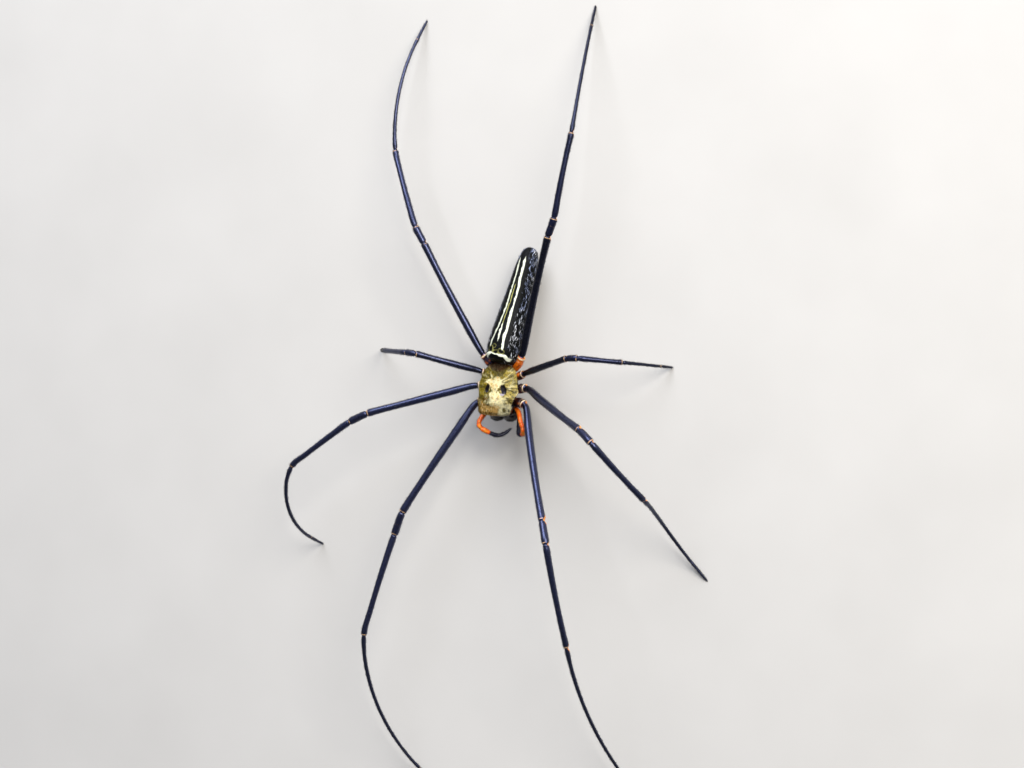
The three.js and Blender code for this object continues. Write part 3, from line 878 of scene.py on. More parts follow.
# How deep in a pit a place is, from 0 outside to 1 in the middle; the pits splay out to the front
def pitShare(x, y):
    turn = math.radians(pits["splay"])
    outward = np.abs(x) - pits["x"] + pits["ragged"] * np.sin(x * 6 + y * 4)
    behind = y - pits["y"] + pits["ragged"] * np.sin(x * 8 - y * 3)
    acrossPit = outward * math.cos(turn) + behind * math.sin(turn)
    alongPit = -outward * math.sin(turn) + behind * math.cos(turn)
    return np.exp(-(acrossPit / pits["width"]) ** 2 - (alongPit / pits["length"]) ** 4)


def dentShare(x, y, dent):
    return swell(np.hypot(x - dent["x"], y - dent["y"]), dent["radius"])


def grooveShare(x, y):
    far = np.hypot(x, y - grooves["y"])
    heading = np.degrees(np.arctan2(y - grooves["y"], np.abs(x)))
    rays = sum(swell(heading - angle, grooves["width"]) for angle in grooves["headings"])
    return rays * smooth(far, *grooves["starts"]) * (1 - smooth(far, *grooves["ends"]))


def shieldTopAt(x, y):
    rearFall, neckDip = shield["rearFall"], shield["neckDip"]
    rear = rearFall["depth"] * smooth(y, rearFall["from"], shield["rear"])
    sides = (1 - neckDip["middleShare"]) * swell(np.abs(x) - neckDip["sideAt"], neckDip["sideWidth"])
    neck = neckDip["depth"] * swell(y - neckDip["y"], neckDip["length"]) * (neckDip["middleShare"] + sides)
    dents = sum(dent["depth"] * dentShare(x, y, dent) for dent in (fovea, headDimple))
    furrow = grooves["depth"] * grooveShare(x, y)
    return alongShield("top", y) - rear - neck - dents - furrow - pits["depth"] * pitShare(x, y)


def shieldSurface():
    tilt = np.linspace(shield["poleGap"], math.pi - shield["poleGap"], shield["rows"])
    turn = turnsRound(shield["columns"])
    along = -np.cos(tilt)[:, None]
    blunt, roundness = shield["bluntness"], shield["roundness"]
    frontRing = (1 - np.abs(along) ** blunt["front"]) ** roundness["front"]
    rearRing = (1 - np.abs(along) ** blunt["rear"]) ** roundness["rear"]
    ring = np.where(along < 0, frontRing, rearRing)
    middleY = (shield["rear"] + shield["front"]) / 2
    halfLength = (shield["rear"] - shield["front"]) / 2 - shield["coat"]
    y = middleY + along * halfLength + 0 * turn[None]
    square = alongShield("square", y)
    width = alongShield("halfWidth", y) - shield["coat"]
    x = width * ring * signedPower(np.cos(turn)[None], square)
    lift = signedPower(np.sin(turn)[None], square) * ring
    edge = alongShield("edgeLevel", y)
    height = np.where(lift > 0, shieldTopAt(x, y) - edge, alongShield("depth", y)) - shield["coat"]
    grid = np.stack([x, y, edge + height * lift], axis=-1)
    return grid, np.broadcast_to(lift, x.shape)


shieldLook = {
    "cream": tint(252, 243, 196), "gold": tint(196, 170, 50), "olive": tint(98, 86, 6),
    "tan": tint(228, 186, 104), "brown": tint(138, 90, 26), "dark": tint(46, 33, 2),
    "bare": tint(7, 6, 9), "pit": tint(13, 7, 4), "edge": tint(244, 228, 170),
    # the lilac colour below is a painted glint, laid in front of the left pit
    "rust": tint(70, 24, 6), "beige": tint(150, 126, 84), "paintedGlint": tint(196, 188, 224),
    "sheen": (0.8, 0.78, 1.0, 1), "pileSheen": (1.0, 0.9, 0.6, 1),
    # noise, in waves to a metre
    "blotch": 620, "mottle": 1700, "fibre": 9000,
}
# Half width of the cream field by distance along the body, and how far its front part leans to the left
creamField = {
    "halfWidths": [(-6.1, 0.0), (-5.3, 1.1), (-4.5, 1.9), (-3.2, 2.15), (-2.3, 1.45), (-1.5, 1.05),
                   (-0.6, 1.2), (0.2, 2.3), (0.85, 1.9), (1.35, 0.0)],
    "widest": 3.0, "lean": 0.9,
}
# The front of the head: where its brown strands start at the middle, and how fast that falls to the left,
# the brown reaching further back on the right as painted shade
brownFront = {"start": -5.1, "shadedSlope": 0.4, "strandsToMm": 5.2}
# Small marks: each one's middle, how it is pressed across and along, how ragged its edge is, where its
# colour fades out, and how strong it is
pileMarks = {
    "spot": {"at": (2.9, -5.7), "press": (1, 1), "ragged": 0.8, "fades": (0.25, 0.6), "share": 0.9},
    "fold": {"at": (-2.1, -3.45), "press": (1, 4), "ragged": 1.0, "fades": (0.4, 0.9), "share": 0.7},
    # the patch is a painted lilac glint
    "patch": {"at": (1.8, -2.3), "press": (3, 9), "ragged": 1.0, "fades": (0.6, 1.1), "share": 0.75},
    "dent": {
        "at": (headDimple["x"], headDimple["y"]), "press": (1, 1), "ragged": 0.5,
        "fades": (0.2, 0.6), "share": 0.75,
    },
}
# The dark wedge at the rear widens by this much to a millimetre
wedgeSlope = 0.61


def fieldRamp(y):
    table = creamField["halfWidths"]
    start, length = table[0][0], table[-1][0] - table[0][0]
    stops = [((place - start) / length, grey(width / creamField["widest"])) for place, width in table]
    return ((y - start) / length).ramp(stops) * creamField["widest"]


# Noises that all parts of the pile share, with the place in millimetres on the shield
def pilePlace(s):
    x, y = bodyPlace(s)
    blotch = s.noise(shieldLook["blotch"], 3) - 0.5
    mottle = s.noise(shieldLook["mottle"], 3) - 0.5
    behind = y - grooves["y"]
    far = s.math("SQRT", x * x + behind * behind)
    heading = s.math("ARCTAN2", behind, abs(x)) * (180 / math.pi)
    rays = s.noise(1.0, 3, s.joinVector(heading / 7, far * 0.6, x.rise(-0.1, 0.1) * 9)) - 0.5
    return {
        "x": x, "y": y, "blotch": blotch, "mottle": mottle, "far": far, "rays": rays,
        # how far a place lies on the right side, which gets painted shade
        "ragged": y + blotch * 2.2, "shadedRightSide": x.fall(-3.4, 0.6),
    }


def addMark(s, colour, name, markColour, at):
    mark = pileMarks[name]
    aside, behind = at["x"] - mark["at"][0], at["y"] - mark["at"][1]
    far = s.math("SQRT", aside * aside * mark["press"][0] + behind * behind * mark["press"][1])
    covered = (far + at["mottle"] * mark["ragged"]).fall(*mark["fades"]) * mark["share"]
    return s.mixColour(covered, colour, shieldLook[markColour])


# Gold with olive blotches, a little paler to the left as painted light and more olive to the right as
# painted shade
def pileGround(s, look, at):
    oliveShare = (at["blotch"] + at["mottle"] * 1.4 + 0.44 + at["shadedRightSide"] * 0.14).rise(0.32, 0.58)
    colour = s.mixColour(oliveShare, look["gold"], look["olive"])
    return s.mixColour(at["x"].rise(0.6, 3.2) * 0.16, colour, look["cream"])


# The cream field, with tan and olive flecks, and bright ridges of painted highlight that spread from its
# middle
def addCream(s, look, colour, at):
    x, blotch, mottle, rays, ragged = (at[key] for key in ("x", "blotch", "mottle", "rays", "ragged"))
    wide = abs(x - ragged.fall(-3.2, -2.2) * creamField["lean"]) + blotch * 3.2 + mottle * 2.0
    pale = (wide - fieldRamp(ragged)).fall(-0.35, 0.35)
    ridges = (rays * 1.3 + blotch * 1.2 + mottle * 0.5).rise(0.06, 0.26)
    # the ridges are dimmer on the right as painted shade
    ridges = ridges * at["far"].rise(1.7, 2.6) * (1 - at["shadedRightSide"] * 0.2)
    flecks = (mottle * 1.6 + rays * 1.2).rise(0.14, 0.3)
    cream = s.mixColour((mottle * 1.6 - blotch).rise(0.0, 0.3) * 0.8, look["cream"], look["tan"])
    cream = s.mixColour(flecks * 0.6, cream, look["gold"])
    return s.mixColour(pale.most(ridges * 0.85), colour, cream), pale


# The front of the head is dark brown, tan and pale gold in fine strands, with cream at its left corner; the
# brown reaching further back on the right is painted shade, and the cream corner painted light
def addFront(s, look, colour, at):
    x, y, blotch, mottle = (at[key] for key in ("x", "y", "blotch", "mottle"))
    limit = y + x * brownFront["shadedSlope"] + blotch * 2.6 + mottle * 1.2 - brownFront["start"]
    front = limit.fall(-0.35, 0.35) * (x + blotch * 3).fall(1.4, 2.2)
    course = s.joinVector(x * (1 + y * 0.05), y * 0.22, s.attribute("lift") * 0.8)
    strands = s.noise(brownFront["strandsToMm"], 3, course)
    furred = s.mixColour(strands.rise(0.38, 0.5), look["brown"], look["tan"])
    furred = s.mixColour(strands.rise(0.56, 0.68) * 0.8, furred, look["cream"])
    colour = s.mixColour(front, colour, furred)
    # the cream corner is painted light on the lit left side
    corner = at["ragged"].fall(-4.7, -4.1) * (x + blotch * 3).rise(1.5, 2.1)
    corner = corner * (mottle + blotch).rise(-0.35, -0.1)
    return s.mixColour(corner * 0.95, colour, look["cream"]), front


# A dark golden wedge at the rear, with red-brown behind it
def addRear(s, look, colour, at):
    outward = abs(at["x"])
    wedge = (at["ragged"] * wedgeSlope - outward).rise(-0.35, 0.3) * at["ragged"].rise(0.9, 1.6)
    rearGold = s.mixColour((at["rays"] + at["mottle"]).rise(-0.1, 0.15), look["dark"], look["olive"])
    colour = s.mixColour(wedge * 0.9, colour, rearGold)
    return s.mixColour((at["ragged"] - outward * 0.25).rise(2.3, 3.3) * 0.85, colour, look["rust"])


# A pale fringe along the side edges, widest at the front left corner
def addFringe(s, look, colour, at):
    x, y, lift = at["x"], at["y"], s.attribute("lift")
    low = lift.fall(0.16, 0.34) * y.fall(0.4, 1.4) * (x.rise(-1.0, 1.0) * 0.7 + 0.3)
    low = low.most(lift.fall(0.3, 0.6) * x.rise(0.8, 1.8) * y.fall(-6.6, -5.4))
    return s.mixColour(low, colour, look["edge"])


# Where the pale, gold, brown and dark parts of the pile are, the same for the skin and for the hairs
def pileColour(s, look):
    at = pilePlace(s)
    colour = pileGround(s, look, at)
    colour, pale = addCream(s, look, colour, at)
    colour, front = addFront(s, look, colour, at)
    colour = addMark(s, colour, "spot", "olive", at)
    # the right side, turned from the light, is a deeper olive as painted shade, with a brown fold beside the
    # neck
    colour = addMark(s, colour, "fold", "brown", at)
    colour = s.mixColour((at["x"] + at["blotch"] * 1.6).fall(-3.5, -2.3) * 0.6, colour, look["olive"])
    colour = addRear(s, look, colour, at)
    # dark lines between the ridges, painted shade
    paintedShadeLines = (at["rays"] * 1.7 + at["mottle"] * 1.2).fall(-0.3, -0.1) * (1 - pale * 0.7) * (1 - front)
    colour = s.mixColour(paintedShadeLines * 0.85, colour, look["dark"])
    # a painted lilac glint in front of the left pit, and a beige dent in the middle of the head
    colour = addMark(s, colour, "patch", "paintedGlint", at)
    colour = addMark(s, colour, "dent", "beige", at)
    return addFringe(s, look, colour, at)


def bodyPlace(s):
    parts = s.node("ShaderNodeSeparateXYZ", None, {"Vector": s.place()})
    x = (parts - float(origin[0])) / mm
    y = (Shade(s.tree, parts.socket.node.outputs["Y"]) - float(origin[1])) / mm
    return x, y


def shieldMaterial():
    look = shieldLook

    def varying(s):
        bare = s.attribute("bare").rise(0.15, 0.4)
        pit = s.attribute("pit").rise(0.2, 0.5)
        fibres = s.noise(look["fibre"], 3, s.vectorMath("MULTIPLY", s.place(), (1, 0.3, 1)))
        shell = s.mixColour(pit, look["bare"], look["pit"])
        return {
            "Base Color": s.mixColour(bare, pileColour(s, look), shell),
            "Roughness": 0.6 - 0.36 * bare + 0.16 * pit,
            "Normal": s.bump(fibres, 0.5, 0.00005),
        }

    return newMaterial("goldPileSkin", {"Specular Tint": look["sheen"]}, varying)


def pileMaterial():
    look = shieldLook

    def varying(s):
        tone = s.attribute("tone")
        # tufts are darkened by their tone as painted shade, and the brightest get a painted cream highlight
        shade = tone.ramp([(0.1, grey(0.35)), (0.4, grey(0.8)), (0.6, grey(1.0))])
        shaded = s.mixColour(0.85, pileColour(s, look), shade, blend="MULTIPLY")
        return {"Base Color": s.mixColour(tone.rise(0.7, 0.95) * 0.25, shaded, look["cream"])}

    fixed = {"Roughness": 0.42, "Specular IOR Level": 0.2, "Specular Tint": look["pileSheen"]}
    return newMaterial("goldPile", fixed, varying)


shieldCoat = {
    "count": 20000, "length": 0.62, "vary": 0.3, "spread": 0.16, "rise": 0.16, "width": 0.024, "sink": 0.05,
    "flat": 0.55, "shape": [(0, 0.7), (0.4, 1.0)], "sweep": 0.1,
    "clumpCount": 1500, "gather": 0.5, "clumpRise": 0.9, "clumpTone": 0.5,
    # each layer's name and how much longer it is than the shortest
    "layers": (("low", 0.85), ("inner", 0.95), ("outer", 1.05), ("over", 1.2)),
    # how much shorter the pile is at most over a dent and at the face, and where the face starts
    "dentShorter": 0.7, "faceShorter": 0.6, "faceFrom": 5.9, "faceTo": 6.9,
}
pileFlow = {
    # where the hairs turn from lying to the rear to lying to the front, and how far they curve out there
    "turnFrom": 2.6, "turnTo": 4.4, "rearCurve": 0.16, "frontCurve": 0.05,
    # how they part at the head's dimple
    "parting": 0.9, "partingLength": 0.5,
    # the lift at which the pile stops, at the rear and the sides
    "rearBorder": 0.3, "sideBorder": 0.1,
}


# The pile thins out and shortens at the face, and round each pit and dent
def pileLengths(roots, length):
    over = np.zeros(roots["count"])
    for share in (0.5, 1):
        at = roots["points"] + roots["ways"] * length * share
        over = np.maximum(over, pitShare(at[:, 0], at[:, 1]))
        over = np.maximum(over, dentShare(at[:, 0], at[:, 1], fovea))
        over = np.maximum(over, 0.3 * dentShare(at[:, 0], at[:, 1], headDimple))
    face = smooth(-roots["points"][:, 1], shieldCoat["faceFrom"], shieldCoat["faceTo"])
    return (1 - shieldCoat["dentShorter"] * smooth(over, 0.06, 0.4)) * (1 - shieldCoat["faceShorter"] * face)


# Hair lies to the rear on the thorax, forward with a slight outward curve on the head
def pileLie(x, y):
    ahead = smooth(-y, pileFlow["turnFrom"], pileFlow["turnTo"])
    outward = pileFlow["rearCurve"] * x * (1 - ahead) + pileFlow["frontCurve"] * x * ahead
    aside = x - headDimple["x"]
    beside = smooth(np.abs(aside), 0.1, 0.9) * np.sign(aside)
    parting = pileFlow["parting"] * swell(y - headDimple["y"], pileFlow["partingLength"]) * beside
    return np.stack([outward + parting, blendOf(1.0, -1.0, ahead), 0 * x], axis=-1)


# The pits and the small dent between them have no pile, nor has the edge at the rear, the sides and the face
def barePlaces(x, y, lift):
    border = blendOf(pileFlow["rearBorder"], pileFlow["sideBorder"], smooth(-y, 0.5, 3.0))
    dents = np.maximum(pitShare(x, y), 0.6 * dentShare(x, y, fovea))
    bare = np.maximum(smooth(dents, 0.1, 0.35) * (lift > 0), smooth(border - lift, -0.04, 0.06))
    return bare, dents * (lift > 0)


def makeShield():
    grid, lift = shieldSurface()
    x, y = grid[..., 0], grid[..., 1]
    bare, pit = barePlaces(x, y, lift)
    values = {"bare": bare, "lift": lift, "pit": pit}
    addSkin("carapace", grid, values, shieldMaterial(), ["cephalothorax"])
    lie = pileLie(x, y)
    weight = (1 - smooth(bare, 0.3, 0.7)) * smooth(lift, 0.02, 0.08)
    weight = weight * (1 - 0.6 * dentShare(x, y, headDimple))
    material = pileMaterial()
    random = np.random.RandomState(6)
    clumps = plantRoots(grid, lie, weight, shieldCoat["clumpCount"], random)
    clumps["tone"] = random.random_sample(clumps["count"])
    for seed, (layer, grow) in enumerate(shieldCoat["layers"]):
        random = np.random.RandomState(7 + seed)
        roots = plantRoots(grid, lie, weight, shieldCoat["count"], random)
        look = dict(shieldCoat, clumps=clumps)
        for key in ("length", "rise"):
            look[key] = shieldCoat[key] * grow
        look["lengthBy"] = pileLengths(roots, look["length"])
        lifts = {"lift": roots["between"](lift[..., None])[:, 0]}
        coat = makeCoat(f"carapace_pile_{layer}", roots, look, lifts, material, random)
        finishPiece(coat)


makeShield()
print("stage: carapace")

# Under body, mouth parts and waist
underBody = {
    "low": (-2.75, -4.9, 5.9), "high": (2.75, 3.7, 10.8), "inset": 0.06, "rows": 110, "columns": 140,
}
mouthParts = {"x": 1.45, "y": -4.95, "level": 7.3, "size": (1.1, 1.3, 1.15)}
lowerLip = {"y": -4.8, "level": 6.7, "size": (0.9, 1.0, 0.7)}
waist = {"radius": 1.0, "start": (0, 2.9, 9.2), "end": (0, 5.9, 9.6), "folds": 9, "foldDepth": 0.06}
underLook = {
    "sternum": tint(52, 26, 14), "spot": tint(186, 110, 30), "soft": tint(66, 36, 22),
    "black": tint(14, 11, 14), "waist": tint(120, 42, 20),
}
# The breastplate, in shares of the under body's half size: a boss at each hip, and yellow spots
sternum = {
    "size": (0.72, 0.98), "edge": 0.62, "bosses": (-0.62, -0.2, 0.24, 0.66), "bossHeight": 0.035,
    "seamDepth": 0.03, "spots": (-0.55, -0.12, 0.32), "spotsAside": 0.42, "rearSpot": 0.7,
}


def ballSurface(centre, size, rows=60, columns=72, change=None, poleGap=0.03):
    tilt = np.linspace(poleGap, math.pi - poleGap, rows)[:, None]
    turn = turnsRound(columns)[None]
    ring = np.sin(tilt)
    way = np.stack([ring * np.cos(turn), -np.cos(tilt) + 0 * turn, ring * np.sin(turn)], axis=-1)
    out = np.ones(way.shape[:2]) if change is None else change(way)
    return np.array(centre) + way * size * out[..., None]


def sternumForm(way):
    x, y, z = way[..., 0], way[..., 1], way[..., 2]
    flat = 1 - 0.1 * smooth(-z, 0.55, 1.0)
    bosses = sum(swell(y - spot, 0.1) for spot in sternum["bosses"]) * swell(-z - sternum["edge"], 0.16)
    seam = swell(np.abs(x) - sternum["edge"], 0.05) * smooth(-z, 0.3, 0.6)
    return flat + sternum["bossHeight"] * bosses - sternum["seamDepth"] * seam


def sternumMarks(across, behind, high):
    width, length = sternum["size"]
    plate = smooth(-high, 0.5, 0.7) * smooth(0.9 - np.hypot(across / width, behind / length), 0, 0.08)
    spots = sum(swell(behind - spot, 0.11) for spot in sternum["spots"])
    spots = spots * swell(np.abs(across) - sternum["spotsAside"], 0.14)
    rearSpot = swell(behind - sternum["rearSpot"], 0.12) * swell(across, 0.12)
    return {"kind": 0 * across, "plate": plate, "spot": np.maximum(spots * plate, rearSpot * plate)}


def underMaterial():
    look = underLook

    def varying(s):
        kind = s.attribute("kind")
        blotch = s.noise(1100, 3)
        plate = s.mixColour(s.attribute("plate").rise(0.5, 0.62), look["soft"], look["sternum"])
        plate = s.mixColour(s.attribute("spot").rise(0.4, 0.6), plate, look["spot"])
        dark = s.mixColour(kind.rise(0.4, 0.6), plate, look["black"])
        colour = s.mixColour(kind.rise(1.4, 1.6), dark, look["waist"])
        return {
            "Base Color": s.mixColour(blotch.rise(0.4, 0.7) * 0.35, colour, look["black"]),
            "Roughness": 0.34 + 0.2 * blotch,
            "Normal": s.bump(s.noise(6500, 3) + s.noise(1600, 3) * 2, 0.5, 0.00005),
        }

    return newMaterial("underBodyCuticle", {"IOR": 1.55}, varying)


# The kinds are 0 for the under body, 1 for the mouth parts and 2 for the waist
def plainSkin(grid, kind):
    blank = np.zeros(grid.shape[:2])
    return grid, {"kind": blank + kind, "plate": blank, "spot": blank}


def makeUnderBody():
    inset = underBody["inset"]
    low, high = np.array(underBody["low"]), np.array(underBody["high"])
    middle, size = (high + low) / 2, (high - low) / 2 - inset
    body = ballSurface(middle, size, underBody["rows"], underBody["columns"], sternumForm)
    share = (body - middle) / size
    skins = [(body, sternumMarks(share[..., 0], share[..., 1], share[..., 2]))]
    for side in (1, -1):
        centre = (side * mouthParts["x"], mouthParts["y"], mouthParts["level"])
        skins.append(plainSkin(ballSurface(centre, np.array(mouthParts["size"]) - inset), 1))
    centre = (0, lowerLip["y"], lowerLip["level"])
    skins.append(plainSkin(ballSurface(centre, np.array(lowerLip["size"]) - inset), 1))
    start, end = np.array(waist["start"]), np.array(waist["end"])
    line = lineThrough([start, blendOf(start, end, 0.5), end])
    stations = np.linspace(0, line["length"], 40)
    fold = 1 + waist["foldDepth"] * np.sin(stations * waist["folds"])[:, None] + np.zeros((1, 40))
    skins.append(plainSkin(ringsRound(line, stations, (waist["radius"] - inset) * fold)[0], 2))
    piece = joinSkins("under_body", skins, underMaterial())
    finishPiece(piece, ["pedicel"])


makeUnderBody()
print("stage: under body")

# Abdomen: rings on a straight axis that drops to the rear
abdomen = {
    "front": (0, 4.4, 10.75), "tip": (3.59, 30.2, 4.6), "coat": 0.06, "columns": 200,
    "radii": [(0, 0), (0.1, 2), (0.45, 2.95), (1.2, 3.5), (2.6, 3.76), (4.4, 3.8), (7, 3.7), (10, 3.42),
              (14, 3.05), (18, 2.76), (21.5, 2.5), (24, 2.18), (25.3, 1.68), (25.95, 0.95), (26.15, 0)],
    "frontRings": [0.02, 0.06, 0.12, 0.2, 0.3], "rings": (0.42, 25.7, 300), "lastRings": [25.85, 26.0, 26.1],
    "evened": 9, "evenFrom": 1.5, "evenTo": 25.0,
    # pairs of small dimples along the back: distance from the front, and degrees from the middle line
    "dimples": [(3.4, 7.0), (7.6, 8.5), (11.6, 7.5), (15.4, 8.0)],
    "dimple": {"depth": 0.1, "radius": 0.16, "backRadius": 3.4, "press": 0.8},
    "middleLine": -3.5,
    # a cross furrow under the front, behind the lung covers
    "furrow": {"at": 5.2, "length": 0.22, "depth": 0.16},
    "covers": {"at": 3.6, "length": 1.0, "turn": 142, "width": 16, "height": 0.04},
}


def abdomenAxis():
    front = np.array(abdomen["front"])
    axis = np.array(abdomen["tip"]) - front
    length = np.linalg.norm(axis)
    axis = axis / length
    up = unit(np.array([0.0, 0.0, 1.0]) - axis * axis[2])
    left = np.cross(axis, up)
    return front, axis, up, left * np.sign(left[0]), length


def abdomenSurface():
    front, axis, up, left, length = abdomenAxis()
    along = np.concatenate([abdomen["frontRings"], np.linspace(*abdomen["rings"]), abdomen["lastRings"]])
    turns = turnsRound(abdomen["columns"])
    table = np.array(abdomen["radii"])
    radius = np.interp(along, table[:, 0], table[:, 1]) - abdomen["coat"]
    radius = np.maximum(radius, 0.05)
    between = (along > abdomen["evenFrom"]) & (along < abdomen["evenTo"])
    radius = np.where(between, evenOut(radius, abdomen["evened"]), radius)[:, None] * np.ones_like(turns)
    degrees = np.degrees(np.arctan2(np.sin(turns), np.cos(turns)))[None]
    dimple, furrow, covers = abdomen["dimple"], abdomen["furrow"], abdomen["covers"]
    for where, apart in abdomen["dimples"]:
        for side in (1, -1):
            aside = np.radians(degrees - abdomen["middleLine"] - side * apart) * dimple["backRadius"]
            far = np.hypot(aside, (along - where)[:, None] * dimple["press"])
            radius = radius - dimple["depth"] * swell(far, dimple["radius"])
    under = smooth(-np.cos(turns)[None], 0.2, 0.7)
    radius = radius - furrow["depth"] * swell((along - furrow["at"])[:, None], furrow["length"]) * under
    beside = swell(np.abs(degrees) - covers["turn"], covers["width"])
    radius = radius + covers["height"] * swell((along - covers["at"])[:, None], covers["length"]) * beside
    stretch = along * length / abdomen["radii"][-1][0]
    spoke = up * np.cos(turns)[:, None] + left * np.sin(turns)[:, None]
    grid = front + axis * stretch[:, None, None] + spoke[None] * radius[..., None]
    return grid, along


abdomenLook = {
    "black": tint(7, 8, 8), "cream": tint(228, 230, 206), "yellow": tint(164, 160, 92),
    "blueGrey": tint(150, 160, 190), "white": tint(232, 234, 238), "belly": tint(34, 24, 16),
    "spot": tint(180, 150, 70), "face": tint(40, 28, 18),
    # noise, in waves to a metre
    "wobble": 420, "ripple": 1300, "ragged": 3200, "shift": 900,
}

# How far the pale stripes stand from the middle of the back, by distance from the abdomen's front, with
# the half width of each and the places where they start and end
abdomenStripes = {
    "right": [(1.8, 1.9), (4.2, 1.72), (5.6, 1.45), (7.5, 1.0), (11, 0.72), (12.5, 0.58), (15.8, 0.7),
              (19, 0.7), (21, 0.72), (22.9, 0.95), (24.4, 1.1)],
    "left": [(1.8, 1.6), (3.8, 1.35), (4.7, 1.22), (7.2, 1.3), (10.3, 1.1), (13.3, 0.92), (17.5, 0.86),
             (19, 0.62), (21.5, 0.55), (23.5, 0.34), (24.8, 0.4)],
    "halfWidth": {"right": 0.17, "left": 0.21}, "starts": (1.9, 3.2), "ends": (22.6, 25.0), "furthest": 2.5,
}
# Yellow loops behind the cross band: how far aside and along, the radius, and how much narrower it is
yellowLoops = [(-1.3, 2.2, 0.5, 0.8), (1.15, 2.1, 0.6, 0.9), (0.0, 1.9, 0.5, 0.6), (-0.5, 3.2, 0.36, 1.2)]
flankRows = {"apart": 0.42, "waver": 3.0, "dashesToMm": 0.8}


# A curve over the distance from the front, as a grey ramp scaled back to millimetres
def measureRamp(along, table):
    last = abdomen["radii"][-1][0]
    furthest = abdomenStripes["furthest"]
    return (along / last).ramp([(at / last, grey(value / furthest)) for at, value in table]) * furthest


# Where a point stands on the abdomen: along its axis, and round it from the middle line in degrees and in
# millimetres, all with the ragged edges of the marks
def abdomenPlace(s, look):
    front, axis, up, left = abdomenAxis()[:4]
    place = s.place()
    fromFront = s.vectorMath("SUBTRACT", place, tuple(front * mm + origin))
    ways = [tuple(way / mm) for way in (axis, up, left)]
    along, high, aside = (s.vectorMath("DOT_PRODUCT", fromFront, way, "Value") for way in ways)
    wobble = s.noise(look["wobble"]) - 0.5
    ripple = s.noise(look["ripple"], 3) - 0.5
    ragged = s.noise(look["ragged"]) - 0.5
    shift = s.noise(look["shift"], 2, s.vectorMath("ADD", place, (0.1, 0.2, 0.3))) - 0.5
    turn = s.math("ARCTAN2", aside, high) - math.radians(abdomen["middleLine"])
    return {
        "along": along + shift * 0.8, "outward": abs(turn) * (180 / math.pi),
        "arc": turn * s.math("SQRT", high * high + aside * aside) + ripple * 0.35 + ragged * 0.12,
        "wobble": wobble, "ripple": ripple,
    }


# A pale stripe down the back, with ragged edges and pointed ends
def paleStripe(at, sideName, side):
    ends = at["along"] + at["ripple"]
    reached = ends.rise(*abdomenStripes["starts"]) * ends.fall(*abdomenStripes["ends"])
    centre = measureRamp(at["along"], abdomenStripes[sideName]) * side
    far = abs(at["arc"] - centre + at["wobble"] * 0.35)
    half = abdomenStripes["halfWidth"][sideName] * (1 + at["wobble"] * 1.8 + at["ripple"] * 1.4)
    return (far - half + (1 - reached) * 0.35).fall(-0.03, 0.09)


# Blobs along the middle line, and the thread that runs on from them
def middleMarks(at):
    along, ripple = at["along"], at["ripple"]
    middle = abs(at["arc"] + 0.06 + at["wobble"] * 0.5)
    blobReach = along.rise(3.8, 5.0) * along.fall(7.0, 9.4)
    blobs = (middle - 0.19 - ripple * 0.5 + (1 - blobReach) * 0.32).fall(-0.02, 0.08)
    threadReach = along.rise(7.4, 9.0) * along.fall(15.5, 20.5)
    thread = (middle - 0.08 - ripple * 0.2 + (1 - threadReach) * 0.18).fall(-0.02, 0.07)
    return blobs, thread


# The cross band at the front, which thins at the middle
def crossBand(at):
    outward = at["outward"]
    middle = 1.42 - 0.5 * outward.rise(22, 62)
    half = 0.12 + 0.2 * outward.rise(8, 30) + at["ripple"] * 0.16
    far = abs(at["along"] - middle + at["wobble"] * 0.5)
    return (far - half).fall(-0.03, 0.07) * outward.fall(66, 74)


def yellowLoop(s, at, asideAt, alongAt, radius, narrower):
    x = (at["arc"] - asideAt) * narrower
    y = at["along"] - alongAt
    ring = abs(s.math("SQRT", x * x + y * y) - radius + at["wobble"] * 1.4 + at["ripple"] * 0.5)
    return (ring - 0.05 - at["ripple"] * 0.4).fall(-0.02, 0.08)


# Broken lengthwise streaks on the flanks, in rows that waver
def flankStreaks(s, at):
    along, arc = at["along"], at["arc"]
    waver = (s.noise(1.0, 2, s.joinVector(along * 0.75, arc * 0.5, 0.0)) - 0.5) * flankRows["waver"]
    rows = arc / flankRows["apart"] + waver
    row = s.math("ROUND", rows)
    dashes = s.noise(1.0, 2, s.joinVector(along * flankRows["dashesToMm"], row * 3.7, 0.0))
    thick = (dashes - 0.5) * 1.2 - 0.01 + at["ripple"] * 0.5
    return (abs(rows - row) - thick).fall(-0.03, 0.1) * (at["outward"] + at["wobble"] * 16).rise(36, 46)


